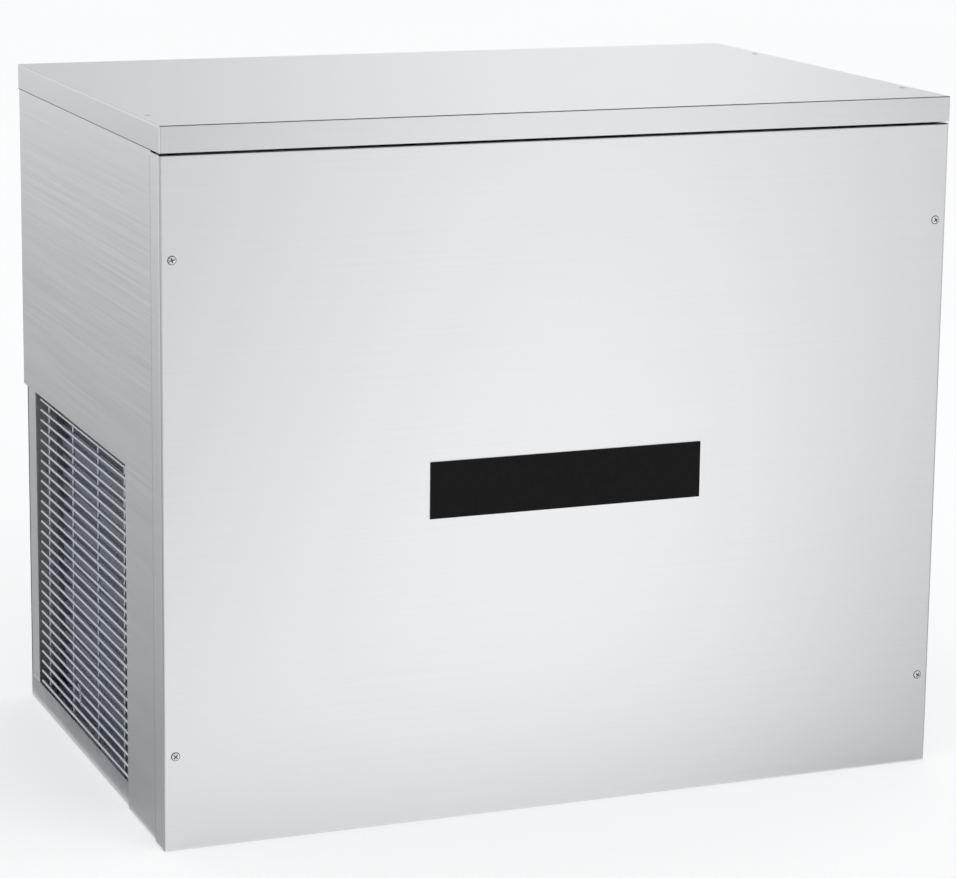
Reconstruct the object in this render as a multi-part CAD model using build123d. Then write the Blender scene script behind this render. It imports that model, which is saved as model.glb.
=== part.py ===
from build123d import *
import math
import os

# The head of an air-cooled ice machine: a stainless cabinet that stands on an ice bin.
# The left part of the cabinet holds the compressor, the condenser and its fan. The right
# part is an insulated chamber with the evaporator, its water circuit and the ice drop.
# Sizes are in millimetres. The front faces -Y, the left side -X, and +Z is up.
# The origin is the middle of the footprint, on the surface that the cabinet stands on.

# Cabinet
overall_width = 862.0
overall_depth = 563.0
overall_height = 729.0
front_sheet = 1.0
side_sheet = 0.8
rear_sheet = 0.8
cover_sheet = 0.8
frame_sheet = 1.2
panel_fit = 0.4
cover_fit = 0.2
fold_radius = 1.6

# Top cover and front panel
cover_lip = 26.7
cover_to_front_gap = 2.0
front_setback = 1.5
front_return = 30.0
front_top_return = 12.0
front_fold_radius = 2.6
skirt_gap = 0.5

# Side and rear panels
side_standoff = 3.0
rear_return = 15.0
cover_overlap = 20.0
side_front_gap = 3.0
cutout_from_front = 136.0
cutout_height = 367.0

# Chassis
base_lip = 25.0
post_leg = 32.0
top_rail_leg = 25.0
cross_rail_leg = 25.0
base_hole_radius = 4.5
base_hole_inset_x = 14.6
base_hole_inset_y = 81.5
post_notch_height = 38.2
post_notch_depth = 12.0

# Label plate, which is bare
label_width = 300.0
label_height = 59.0
label_thickness = 1.0
label_drop = 1.65

# Screws
front_screw_inset = 12.5
front_screw_low = 98.0
front_screw_top_offset = 102.3
front_head_radius = 4.6
front_head_height = 1.4
screw_radius = 1.9
screw_length = 9.0
screw_clearance = 0.3

# Air guard of round wire
guard_bar_radius = 1.6
guard_upright_radius = 1.5
guard_bar_count = 29
guard_lowest_bar = 29.0
guard_top_clearance = 10.4
guard_lean = 3.5
guard_setback = 2.2
guard_rear_margin = 13.0
guard_front_overlap = 12.0
guard_front_upright = 40.7
guard_rear_upright = 24.0
guard_end_gap = 0.05
guard_upright_count = 4

# Ice chamber
partition_sheet = 1.0
chamber_left_gap = 55.0
chamber_right_gap = 25.4
chamber_rear_gap = 8.0
chamber_wall = 20.0
chamber_floor = 15.0
chamber_top_gap = 50.2
chamber_lid = 12.0
chamber_front_wall = 20.0
chamber_front_gap = 16.0
recess_width = 120.0
recess_height = 40.0
recess_depth = 10.0
recess_top = 50.0
ice_opening_depth = 210.0
ice_opening_left_gap = 98.0
ice_opening_right_gap = 10.0
ice_opening_front = 12.0
drop_collar = 10.0

# Evaporator
evaporator_left_gap = 103.0
evaporator_right_gap = 15.0
evaporator_guide_gap = 11.0
evaporator_top_gap = 108.0
evaporator_rear_gap = 118.9
evaporator_sheet = 1.0
rib_count = 11
rib_depth = 12.0
rib_thickness = 1.4
coil_depth = 10.0
coil_height = 12.0
coil_passes = 6
coil_margin = 20.0
coil_tail = 61.0
bracket_sheet = 4.0
bracket_front_margin = 22.0
bracket_slot_fit = 0.3
window_front_gap = 14.0
window_rear_strip = 16.0
window_low_strip = 30.0
window_high_strip = 60.0

# Water circuit
distributor_height = 16.0
distributor_depth = 60.0
distributor_wall = 2.5
distributor_gap = 6.0
nipple_radius = 6.5
nipple_length = 30.0
nipple_setback = 26.0
hose_radius = 7.0
hose_cut = 11.0
guide_thickness = 4.0
guide_front_height = 100.0
guide_rear_height = 215.0
guide_overhang = 8.0
guide_slots = 12
guide_slot_width = 9.0
guide_slot_length = 150.0
tank_front_gap = 9.8
tank_rear_gap = 10.0
tank_right_gap = 8.0
tank_wall = 3.0
well_width = 87.0
well_depth = 156.9
well_height = 126.0
divider_strip = 20.0
divider_window = 30.0
drain_radius = 11.0
drain_wall = 2.5
drain_port_radius = 7.0
drain_right_gap = 60.0
drain_height = 38.0

# Circulation pump
pump_left_gap = 53.0
pump_rear_gap = 50.9
pump_plate = 4.0
pump_plate_overhang = 2.0
pump_plate_front = 10.0
pump_motor_radius = 38.0
pump_motor_height = 74.0
pump_tube_radius = 10.0
pump_tube_wall = 4.5
volute_radius = 30.0
volute_wall = 4.0
volute_bottom = 36.0
volute_height = 22.0
impeller_radius = 22.0
impeller_clearance = 2.0
impeller_disc = 3.0
shaft_radius = 4.0
shaft_clearance = 0.05
shaft_depth = 16.0
pump_outlet_offset = 17.0
pump_outlet_length = 14.0

# Float switch
float_left_gap = 73.0
float_front_gap = 28.0
float_plate_side = 18.0
float_plate_rear = 16.0
float_plate = 3.0
float_radius = 13.0
float_height = 18.0
float_travel = 18.0
float_stem_radius = 3.0
float_low = 39.0
float_stop_radius = 6.0
float_stop_height = 3.0

# Bin control
paddle_rear_gap = 50.2
paddle_pivot_z = 150.0
paddle_rod_radius = 3.0
paddle_width = 90.0
paddle_drop = 100.0
paddle_sheet = 2.0
paddle_hub = 7.0
paddle_reach = 118.0
bin_switch_size = 32.0
bin_switch_wall = 4.0

# Condenser
condenser_left_gap = 27.4
condenser_thickness = 55.0
condenser_front_gap = 18.0
condenser_rear_gap = 44.7
condenser_rail_gap = 0.8
condenser_channel = 13.0
header_radius = 12.0
fin_groove_count = 20
fin_groove_depth = 8.0
fin_groove_share = 0.55
channel_overhang = 2.0

# Condenser fan
shroud_depth = 40.0
shroud_sheet = 1.0
shroud_collar = 14.0
fan_edge_margin = 21.0
fan_tip_clearance = 6.0
fan_blades = 5
fan_hub_radius = 24.0
fan_hub_length = 22.0
fan_blade_sink = 6.0
fan_blade_sheet = 1.6
fan_blade_angle = 28.0
fan_blade_root_width = 62.0
fan_blade_tip_width = 96.0
fan_setback = 4.0
fan_motor_radius = 40.0
fan_motor_length = 68.0
fan_motor_gap = 14.0
fan_motor_boss = 6.0
fan_arm_sheet = 2.5
fan_arm_width = 16.0
fan_arm_reach = 8.0

# Compressor
compressor_left_gap = 82.4
compressor_front_gap = 16.8
compressor_radius = 85.0
compressor_wall_height = 156.0
compressor_shoulder = 30.0
compressor_crown_radius = 54.0
compressor_plate = 4.0
compressor_plate_width = 206.0
compressor_plate_depth = 150.0
mount_radius = 12.0
mount_height = 22.0
mount_inset = 15.0
nut_width = 13.0
nut_height = 12.0
terminal_width = 60.0
terminal_height = 60.0
terminal_depth = 16.0
terminal_edge = 3.0
terminal_low = 120.0

# Refrigerant lines
discharge_radius = 4.75
liquid_radius = 4.75
suction_radius = 6.35
line_cut = 14.0
line_hole_clearance = 1.0
discharge_offset = 20.0
discharge_drop = 24.0
valve_gap = 54.0
run_gap = 32.0
valve_block = 24.0
diaphragm_radius = 16.0
diaphragm_height = 10.0
hot_gas_rise = 50.0
hot_gas_valve_reach = 112.0
hot_gas_valve_length = 40.0
hot_gas_coil_radius = 13.0
hot_gas_coil_height = 28.0
drier_radius = 16.0
drier_length = 96.0
drier_gap = 3.0
drier_z = 40.0
drier_neck = 12.0

# Control box
control_left_gap = 30.4
control_top_gap = 88.2
control_height = 210.0
control_depth = 97.0
control_sheet = 1.0
control_lip = 26.0
control_setback = 22.0
board_margin = 24.0
board_sheet = 1.6
board_standoff = 8.0
board_foot = 8.0
board_part_z = 20.0
transformer_x = 20.0
transformer_width = 50.0
transformer_height = 60.0
transformer_depth = 38.0
relay_x = 90.0
relay_pitch = 50.0
relay_width = 30.0
relay_height = 24.0
relay_depth = 18.0
relay_count = 2
switch_gap = 82.0
switch_bush_radius = 6.0
switch_bush_length = 9.0
switch_socket_radius = 4.2
switch_socket_depth = 6.0
switch_body_depth = 20.0
switch_body_width = 14.0
switch_body_height = 22.0
lever_pin_radius = 2.5
lever_pin_length = 6.0
lever_radius = 1.8
lever_length = 15.0
lever_seat_gap = 0.2

# Water inlet valve, drain and cable entry at the rear
inlet_gap = 52.0
inlet_top_gap = 88.2
inlet_boss_radius = 14.0
inlet_bore_radius = 8.0
inlet_bore_depth = 16.0
inlet_body = 34.0
inlet_plate = 2.0
inlet_plate_wing = 8.0
inlet_outlet_offset = 20.0
inlet_hole_clearance = 1.0
rear_reach = 0.4
inlet_coil_width = 26.0
inlet_coil_height = 30.0
fill_radius = 6.0
fill_drop_offset = 15.0
fill_end_gap = 17.0
fill_cut = 15.0
cable_gap = 62.0
cable_z = 420.0
cable_hole_radius = 8.0
cable_flange = 3.0
cable_flange_thickness = 1.2
cable_neck = 4.0
exhaust_columns = 2
exhaust_rows = 10
exhaust_slot_length = 96.0
exhaust_slot_height = 8.0
exhaust_pitch_x = 106.0
exhaust_pitch_z = 28.0
exhaust_left_gap = 90.0
exhaust_low = 66.0

# Places that follow from the sizes above
half_width = overall_width / 2
cover_front = -overall_depth / 2
cover_rear = overall_depth / 2
front_face = cover_front + front_setback
front_inner = front_face + front_sheet
front_top = overall_height - cover_lip - cover_to_front_gap
side_outer = half_width - front_sheet - panel_fit
side_rear = cover_rear - cover_sheet - cover_fit
side_top = overall_height - cover_lip + cover_overlap
rear_outer = side_rear - side_sheet
base_half_x = side_outer - side_standoff
base_front = front_inner
base_rear = rear_outer - rear_sheet
frame_x = base_half_x - frame_sheet
frame_front = base_front + frame_sheet
frame_rear = base_rear - frame_sheet
frame_top = overall_height - cover_sheet
label_middle_z = front_top / 2 - label_drop
front_screw_high = front_top - front_screw_top_offset
cutout_edge = front_face + cutout_from_front
cross_rail_z = cutout_height + 5.0
guard_highest_bar = cutout_height - guard_top_clearance
guard_rear = frame_rear - post_leg - guard_rear_margin
compressor_x = -frame_x + compressor_left_gap + compressor_radius
compressor_y = frame_front + compressor_front_gap + compressor_radius
compressor_z0 = frame_sheet + mount_height + compressor_plate
compressor_z1 = compressor_z0 + compressor_wall_height + 2 * compressor_shoulder
chamber_left = compressor_x + compressor_radius + chamber_left_gap
chamber_right = frame_x - chamber_right_gap
chamber_height = frame_top - chamber_top_gap
chamber_rear = base_rear - chamber_rear_gap
chamber_front = frame_front + chamber_front_gap
inner_left = chamber_left + chamber_wall
inner_right = chamber_right - chamber_wall
inner_rear = chamber_rear - chamber_wall
inner_front = chamber_front + chamber_front_wall
floor_top = frame_sheet + chamber_floor
opening_x0 = inner_left + ice_opening_left_gap
opening_x1 = inner_right - ice_opening_right_gap
opening_y0 = inner_front + ice_opening_front
opening_y1 = opening_y0 + ice_opening_depth
evaporator_left = inner_left + evaporator_left_gap
evaporator_right = inner_right - evaporator_right_gap
evaporator_y = inner_rear - evaporator_rear_gap
evaporator_bottom = guide_rear_height + guide_thickness + evaporator_guide_gap
evaporator_top = chamber_height - evaporator_top_gap
distributor_z = evaporator_top + distributor_gap
nipple_y = evaporator_y - nipple_setback
nipple_z = distributor_z + distributor_height / 2
coil_pitch = (evaporator_top - evaporator_bottom - 2 * coil_margin) / (coil_passes - 1)
coil_first_z = evaporator_bottom + coil_margin
coil_last_z = evaporator_top - coil_margin
tank_front = opening_y1 + tank_front_gap
tank_rear = inner_rear - tank_rear_gap
tank_right = inner_right - tank_right_gap
tank_divider = evaporator_left - bracket_sheet - tank_wall
well_front = tank_rear - well_depth
drain_x = inner_right - drain_right_gap
pump_x = inner_left + pump_left_gap
pump_y = tank_rear - pump_rear_gap
pump_outlet_x = pump_x - pump_outlet_offset
float_x = inner_left + float_left_gap
float_y = well_front + float_front_gap
paddle_y = opening_y1 - paddle_rear_gap
condenser_left = -frame_x + condenser_left_gap
condenser_right = condenser_left + condenser_thickness
condenser_middle_x = condenser_left + condenser_thickness / 2
condenser_front = compressor_y + compressor_radius + condenser_front_gap
condenser_back = frame_rear - condenser_rear_gap
condenser_y = (condenser_front + condenser_back) / 2
condenser_z0 = frame_sheet + condenser_channel
condenser_z1 = cross_rail_z - condenser_rail_gap - condenser_channel
header_front = condenser_front - header_radius
header_back = condenser_back + header_radius
channel_front = condenser_front - 2 * header_radius
channel_back = condenser_back + 2 * header_radius
shroud_right = condenser_right + shroud_depth
fan_z = (condenser_z0 + condenser_z1) / 2
fan_radius = (condenser_back - condenser_front) / 2 - fan_edge_margin
fan_orifice = fan_radius + fan_tip_clearance
fan_motor_left = shroud_right - fan_setback + fan_motor_gap
valve_x = chamber_left - valve_gap
run_x = chamber_left - run_gap
hot_gas_z = coil_first_z + hot_gas_rise
hot_gas_valve_front = evaporator_y - hot_gas_valve_reach
drier_left = shroud_right + drier_gap
control_left = -frame_x + control_left_gap
control_right = chamber_left - partition_sheet
control_high = frame_top - control_top_gap
control_low = control_high - control_height
control_front = base_front + control_setback
control_rear = control_front + control_depth
switch_x = chamber_left - switch_gap
switch_z = control_low + control_lip / 2
lever_pivot_y = control_front - switch_bush_length + switch_socket_depth
inlet_x = chamber_left - inlet_gap
inlet_y = base_rear - inlet_plate - inlet_body / 2
inlet_z = frame_top - inlet_top_gap
fill_y = inlet_y - inlet_outlet_offset
fill_drop_x = evaporator_left + fill_drop_offset
fill_end_z = guide_rear_height + guide_thickness + fill_end_gap
cable_x = chamber_left - cable_gap
exhaust_left = -frame_x + exhaust_left_gap


# Helpers

def block(x0, x1, y0, y1, z0, z1):
    """A plain box between two corners."""
    middle = Pos((x0 + x1) / 2, (y0 + y1) / 2, (z0 + z1) / 2)
    return middle * Box(x1 - x0, y1 - y0, z1 - z0)


def rod(radius, start, end):
    """A round bar from one point to another."""
    start = Vector(*start)
    run = Vector(*end) - start
    plane = Plane(origin=start, z_dir=run)
    return plane * Cylinder(radius, run.length, align=(Align.CENTER, Align.CENTER, Align.MIN))


def line_tube(radius, points, cut):
    """A round tube along straight runs, each corner cut by one short mitred run."""
    points = [Vector(*point) for point in points]
    path = [points[0]]
    for before, corner, after in zip(points, points[1:], points[2:]):
        path.append(corner + (before - corner).normalized() * cut)
        path.append(corner + (after - corner).normalized() * cut)
    path.append(points[-1])
    path = Polyline(*path)
    start = Plane(origin=path @ 0, z_dir=path % 0)
    return sweep(start * Circle(radius), path=path, transition=Transition.RIGHT)


def prism_along_x(points, x0, x1):
    """A solid with a (y, z) outline, from x0 to x1."""
    plane = Plane(origin=(x0, 0, 0), x_dir=(0, 1, 0), z_dir=(1, 0, 0))
    return extrude(plane * make_face(Polyline(*points, close=True)), amount=x1 - x0)


def prism_along_z(points, z0, z1):
    """A solid with an (x, y) outline, from z0 to z1."""
    return extrude(Pos(0, 0, z0) * make_face(Polyline(*points, close=True)), amount=z1 - z0)


def turned(points):
    """A solid turned about the Z axis from a closed (radius, z) outline."""
    face = Plane.XZ * make_face(Polyline(*points, close=True))
    return revolve(face, axis=Axis.Z)


# Chassis

def make_base_pan():
    """The floor pan: an upturned lip all round, and a collar round the ice opening."""
    pan = block(-base_half_x, base_half_x, base_front, base_rear, 0, base_lip)
    pan = fillet(pan.edges().filter_by(Axis.Z), frame_sheet)
    pan -= block(-frame_x, frame_x, frame_front, frame_rear, frame_sheet, base_lip + 1)
    collar_top = frame_sheet + drop_collar
    pan += block(opening_x0 - frame_sheet, opening_x1 + frame_sheet,
                 opening_y0 - frame_sheet, opening_y1 + frame_sheet, 0, collar_top)
    pan -= block(opening_x0, opening_x1, opening_y0, opening_y1, -1, collar_top + 1)
    for x in (-base_half_x + base_hole_inset_x, base_half_x - base_hole_inset_x):
        for y in (cover_front + base_hole_inset_y, cover_rear - base_hole_inset_y):
            pan -= rod(base_hole_radius, (x, y, -1), (x, y, frame_sheet + 1))
    return pan


def make_post(side, end):
    """A corner post of angle section: side is -1 left or 1 right, end is -1 front or 1 rear."""
    face_y = frame_front if end < 0 else frame_rear
    x_outer = side * frame_x
    x_leg = side * (frame_x - post_leg)
    x_inner = side * (frame_x - frame_sheet)
    y_leg = face_y - end * post_leg
    y_inner = face_y - end * frame_sheet
    outline = [(x_outer, face_y), (x_leg, face_y), (x_leg, y_inner),
               (x_inner, y_inner), (x_inner, y_leg), (x_outer, y_leg)]
    post = prism_along_z(outline, frame_sheet, frame_top - frame_sheet)
    if end < 0:
        post -= block(-half_width, half_width, face_y - 1, face_y + post_notch_depth,
                      frame_top - post_notch_height, frame_top)
        screw_x = side * (half_width - front_screw_inset)
        for z in (front_screw_low, front_screw_high):
            post -= rod(screw_radius + screw_clearance, (screw_x, face_y - 1, z),
                        (screw_x, face_y + 3, z))
    return post


def make_top_frame():
    """The ring of angle section that ties the posts and carries the cover."""
    ring = block(-base_half_x, base_half_x, base_front, base_rear,
                 frame_top - top_rail_leg, frame_top)
    ring -= block(-frame_x, frame_x, frame_front, frame_rear,
                  frame_top - top_rail_leg - 1, frame_top - frame_sheet)
    leg = top_rail_leg
    ring -= block(-base_half_x + leg, base_half_x - leg, base_front + leg, base_rear - leg,
                  frame_top - leg - 1, frame_top + 1)
    return ring


def make_side_cross_rail():
    """The rail over the cut-out, which ties the two left posts and holds the guard's top."""
    outer = -frame_x + frame_sheet
    y0 = frame_front + frame_sheet
    y1 = frame_rear - frame_sheet
    rail = block(outer, outer + frame_sheet, y0, y1, cross_rail_z, cross_rail_z + cross_rail_leg)
    rail += block(outer, outer + cross_rail_leg, y0, y1, cross_rail_z, cross_rail_z + frame_sheet)
    return rail


# Cabinet skins

def make_top_cover():
    """The lid: one sheet folded down on all four sides."""
    half_x = side_outer + cover_fit + cover_sheet
    low = overall_height - cover_lip
    lid = block(-half_x, half_x, cover_front, cover_rear, low, overall_height)
    folds = lid.edges().filter_by(Axis.Z) + lid.faces().sort_by(Axis.Z)[-1].edges()
    lid = fillet(folds, fold_radius)
    hollow = block(-half_x + cover_sheet, half_x - cover_sheet, cover_front + cover_sheet,
                   cover_rear - cover_sheet, low - 1, frame_top)
    lid -= hollow
    return lid


def folded_front(x, y0, y1, z0, z1, radius):
    """A block whose upright front edges and top front edge are rounded."""
    made = block(-x, x, y0, y1, z0, z1)
    folds = made.faces().sort_by(Axis.Y)[0].edges().sort_by(Axis.Z)[1:]
    return fillet(folds, radius)


def make_front_panel():
    """The front: one sheet with returns back over both sides and a short one along the top."""
    back = front_face + front_return
    panel = folded_front(half_width, front_face, back, skirt_gap, front_top, front_fold_radius)
    x = half_width - front_sheet
    panel -= folded_front(x, front_inner, back + 1, skirt_gap - 1, front_top - front_sheet,
                          front_fold_radius - front_sheet)
    panel -= block(-x, x, front_inner + front_top_return, back + 1,
                   front_top - front_sheet - 1, front_top + 1)
    screw_x = half_width - front_screw_inset
    for x in (-screw_x, screw_x):
        for z in (front_screw_low, front_screw_high):
            panel -= rod(screw_radius + screw_clearance, (x, front_face - 1, z),
                         (x, front_inner + 1, z))
    return panel


def side_outline(inset, cut_out):
    """The (y, z) outline of a side panel, drawn in by the inset."""
    y0 = front_face + front_return + side_front_gap + inset
    y1 = side_rear - inset
    z0 = skirt_gap + inset
    z1 = side_top - inset
    if not cut_out:
        return [(y0, z0), (y1, z0), (y1, z1), (y0, z1)]
    step_y = cutout_edge - inset
    step_z = cutout_height + inset
    return [(y0, z0), (step_y, z0), (step_y, step_z), (y1, step_z), (y1, z1), (y0, z1)]


def make_side_panel(side):
    """A side panel: a shallow pan with a return behind the rear panel; the left is cut out."""
    cut_out = side < 0
    low = cutout_height if cut_out else skirt_gap
    panel = prism_along_x(side_outline(0, cut_out), base_half_x, side_outer)
    hollow = prism_along_x(side_outline(side_sheet, cut_out), base_half_x - 1,
                           side_outer - side_sheet)
    panel -= hollow
    panel += block(side_outer - rear_return, side_outer, rear_outer, side_rear, low, side_top)
    if side < 0:
        panel = mirror(panel, about=Plane.YZ)
    return panel


def make_rear_panel():
    """The rear: a flat sheet behind the side returns, slotted where the fan blows out."""
    panel = block(-base_half_x + rear_sheet, base_half_x - rear_sheet, base_rear, rear_outer,
                  skirt_gap, side_top)
    slots = []
    for column in range(exhaust_columns):
        x = exhaust_left + column * exhaust_pitch_x
        for row in range(exhaust_rows):
            z = exhaust_low + row * exhaust_pitch_z
            slots.append(block(x, x + exhaust_slot_length, base_rear - 1, rear_outer + 1,
                               z, z + exhaust_slot_height))
    panel -= slots
    holes = ((inlet_x, inlet_z, inlet_boss_radius + inlet_hole_clearance),
             (drain_x, drain_height, drain_radius + line_hole_clearance),
             (cable_x, cable_z, cable_hole_radius))
    for x, z, radius in holes:
        panel -= rod(radius, (x, base_rear - 1, z), (x, rear_outer + 1, z))
    return panel


def make_label_plate():
    """The bare plate on the middle of the front."""
    return block(-label_width / 2, label_width / 2, front_face - label_thickness, front_face,
                 label_middle_z - label_height / 2, label_middle_z + label_height / 2)


def make_front_panel_screws():
    """The four screws of the front panel, each a head on the sheet and a shank behind it."""
    x = half_width - front_screw_inset
    screws = []
    for side in (-1, 1):
        for z in (front_screw_low, front_screw_high):
            head = rod(front_head_radius, (side * x, front_face, z),
                       (side * x, front_face - front_head_height, z))
            screws.append(head + rod(screw_radius, (side * x, front_face, z),
                                     (side * x, front_face + screw_length, z)))
    return Compound(screws)


def make_air_guard():
    """The wire guard: level bars laid on leaning uprights, which stand on the base pan."""
    foot_x = -frame_x + guard_setback + guard_upright_radius
    low = frame_sheet + guard_end_gap
    high = cross_rail_z - guard_end_gap
    lean = guard_lean / (high - low)
    first_y = cutout_edge + guard_front_upright
    upright_pitch = (guard_rear - guard_rear_upright - first_y) / (guard_upright_count - 1)
    uprights = []
    for number in range(guard_upright_count):
        y = first_y + number * upright_pitch
        uprights.append(rod(guard_upright_radius, (foot_x, y, low),
                            (foot_x + guard_lean, y, high)))
    front_y = cutout_edge - guard_front_overlap
    spacing = guard_upright_radius + guard_bar_radius
    bar_pitch = (guard_highest_bar - guard_lowest_bar) / (guard_bar_count - 1)
    bars = []
    for number in range(guard_bar_count):
        z = guard_lowest_bar + number * bar_pitch
        x = foot_x + lean * (z - low) - spacing * math.sqrt(1 + lean ** 2)
        bars.append(rod(guard_bar_radius, (x, front_y, z), (x, guard_rear, z)))
    return Compound(uprights + bars)


# Condenser and its fan

def make_condenser_core():
    """The finned core, with a row of level grooves between the flat tubes on each face."""
    pitch = (condenser_z1 - condenser_z0) / fin_groove_count
    groove = pitch * fin_groove_share
    core = block(condenser_left, condenser_right, condenser_front, condenser_back,
                 condenser_z0, condenser_z1)
    cuts = []
    for number in range(fin_groove_count):
        z = condenser_z0 + pitch * (number + 0.5) - groove / 2
        cuts.append(block(condenser_left - 1, condenser_left + fin_groove_depth,
                          condenser_front - 1, condenser_back + 1, z, z + groove))
        cuts.append(block(condenser_right - fin_groove_depth, condenser_right + 1,
                          condenser_front - 1, condenser_back + 1, z, z + groove))
    return core - cuts


def make_condenser_headers():
    """The two upright header tubes at the ends of the core."""
    x = condenser_middle_x
    return Compound([rod(header_radius, (x, y, condenser_z0), (x, y, condenser_z1))
                     for y in (header_front, header_back)])


def make_condenser_frame():
    """The two channels that hold the core, open away from it; the lower stands on the pan."""
    x0 = condenser_left - channel_overhang
    x1 = condenser_right - frame_sheet
    channels = []
    for z0, z1, web_low in ((frame_sheet, condenser_z0, False),
                            (condenser_z1, condenser_z1 + condenser_channel, True)):
        channel = block(x0, x1, channel_front, channel_back, z0, z1)
        low, high = (z0 + frame_sheet, z1 + 1) if web_low else (z0 - 1, z1 - frame_sheet)
        channel -= block(x0 + frame_sheet, x1 - frame_sheet, channel_front - 1, channel_back + 1,
                         low, high)
        channels.append(channel)
    return Compound(channels)


def make_fan_shroud():
    """The sheet box behind the core, with a round orifice and its collar round the fan."""
    shroud = block(condenser_right, shroud_right, condenser_front, condenser_back,
                   condenser_z0, condenser_z1)
    shroud -= block(condenser_right - 1, shroud_right - shroud_sheet,
                    condenser_front + shroud_sheet, condenser_back - shroud_sheet,
                    condenser_z0 + shroud_sheet, condenser_z1 - shroud_sheet)
    shroud += rod(fan_orifice + shroud_sheet, (shroud_right - shroud_collar, condenser_y, fan_z),
                  (shroud_right, condenser_y, fan_z))
    shroud -= rod(fan_orifice, (shroud_right - shroud_collar - 1, condenser_y, fan_z),
                  (shroud_right + 1, condenser_y, fan_z))
    return shroud


def fan_blade_at(angle):
    """One pitched blade, wider towards the tip, from inside the hub outwards."""
    root = fan_hub_radius - fan_blade_sink
    outline = [(-fan_blade_root_width / 2, root), (fan_blade_root_width / 2, root),
               (fan_blade_tip_width / 2, fan_radius), (-fan_blade_tip_width / 2, fan_radius)]
    face = Plane.YZ * make_face(Polyline(*outline, close=True))
    blade = extrude(face, amount=fan_blade_sheet / 2, both=True)
    return Rot(angle, 0, 0) * Rot(0, 0, fan_blade_angle) * blade


def make_fan_blade():
    """The condenser fan with its shaft, which turns in the motor."""
    hub_x0 = shroud_right - shroud_collar / 2 - fan_setback - fan_hub_length / 2
    fan = rod(fan_hub_radius, (0, 0, 0), (fan_hub_length, 0, 0))
    middle = Pos(fan_hub_length / 2, 0, 0)
    for number in range(fan_blades):
        fan += middle * fan_blade_at(number * 360 / fan_blades)
    swept = rod(fan_radius, (-fan_radius, 0, 0), (fan_radius, 0, 0))
    reach = fan_motor_left - hub_x0 + shaft_depth
    fan = fan & swept
    fan += rod(shaft_radius, (0, 0, 0), (reach, 0, 0))
    return Pos(hub_x0, condenser_y, fan_z) * fan


def make_fan_motor():
    """The fan motor, with a bore for the shaft in its front boss."""
    x0 = fan_motor_left
    x1 = x0 + fan_motor_length
    y = condenser_y
    motor = rod(fan_motor_radius, (x0 + fan_motor_boss, y, fan_z), (x1, y, fan_z))
    motor += rod(fan_motor_radius * 0.4, (x0, y, fan_z), (x0 + fan_motor_boss, y, fan_z))
    bore = shaft_radius + shaft_clearance
    return motor - rod(bore, (x0 - 1, y, fan_z), (x0 + shaft_depth + 1, y, fan_z))


def make_fan_motor_bracket():
    """A band round the motor and four bent strips that reach the face of the shroud."""
    x = fan_motor_left + fan_motor_boss + (fan_motor_length - fan_motor_boss) / 2
    y = condenser_y
    half = fan_arm_width / 2
    middle = Pos(0, y, fan_z)
    bracket = rod(fan_motor_radius + fan_arm_sheet, (x - half, y, fan_z), (x + half, y, fan_z))
    reach = fan_orifice + fan_arm_reach
    for number in range(4):
        turn = middle * Rot(45 + 90 * number, 0, 0)
        bracket += turn * block(x - half, x + half, -fan_arm_sheet / 2, fan_arm_sheet / 2,
                                fan_motor_radius + fan_arm_sheet / 2, reach)
        bracket += turn * block(shroud_right, x + half, -half, half, reach,
                                reach + fan_arm_sheet)
    return bracket - rod(fan_motor_radius, (x - fan_arm_width, y, fan_z),
                         (x + fan_arm_width, y, fan_z))


# Compressor

def mount_places():
    """The four rubber mounts of the compressor."""
    dx = compressor_plate_width / 2 - mount_inset
    dy = compressor_plate_depth / 2 - mount_inset
    return [(compressor_x + sx * dx, compressor_y + sy * dy) for sx in (-1, 1) for sy in (-1, 1)]


def make_compressor():
    """The welded can with its coned ends, on a foot plate."""
    wall_low = compressor_z0 + compressor_shoulder
    wall_high = wall_low + compressor_wall_height
    profile = [(0, compressor_z0), (compressor_crown_radius, compressor_z0),
               (compressor_radius, wall_low), (compressor_radius, wall_high),
               (compressor_crown_radius, compressor_z1), (0, compressor_z1)]
    can = Pos(compressor_x, compressor_y, 0) * turned(profile)
    half_x = compressor_plate_width / 2
    half_y = compressor_plate_depth / 2
    return can + block(compressor_x - half_x, compressor_x + half_x, compressor_y - half_y,
                       compressor_y + half_y, compressor_z0 - compressor_plate, compressor_z0)


def make_compressor_mounts():
    """The four bonded rubber mounts that stand on the base pan."""
    top = frame_sheet + mount_height
    return Compound([rod(mount_radius, (x, y, frame_sheet), (x, y, top))
                     for x, y in mount_places()])


def make_compressor_nuts():
    """The tall hexagonal nuts that hold the foot plate down on the mounts."""
    outline = RegularPolygon(nut_width / math.sqrt(3), 6)
    return Compound([extrude(Pos(x, y, compressor_z0) * outline, amount=nut_height)
                     for x, y in mount_places()])


def make_compressor_terminal_cover():
    """The moulded cover over the terminals, on the front of the can."""
    y0 = compressor_y - compressor_radius - terminal_depth * 0.4
    y1 = y0 + terminal_depth
    cover = block(compressor_x - terminal_width / 2, compressor_x + terminal_width / 2, y0, y1,
                  terminal_low, terminal_low + terminal_height)
    cover = fillet(cover.faces().sort_by(Axis.Y)[0].edges(), terminal_edge)
    return cover - rod(compressor_radius, (compressor_x, compressor_y, terminal_low - 1),
                       (compressor_x, compressor_y, terminal_low + terminal_height + 1))


# Refrigerant circuit

def make_discharge_line():
    """From the top of the compressor to the front header of the condenser."""
    stub = discharge_stub()
    run_z = condenser_z1 - discharge_drop
    header = Vector(condenser_middle_x, header_front, run_z)
    turn = Vector(stub.X, stub.Y, run_z)
    end = header + (turn - header).normalized() * header_radius
    return line_tube(discharge_radius, [stub, turn, end], line_cut)


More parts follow.
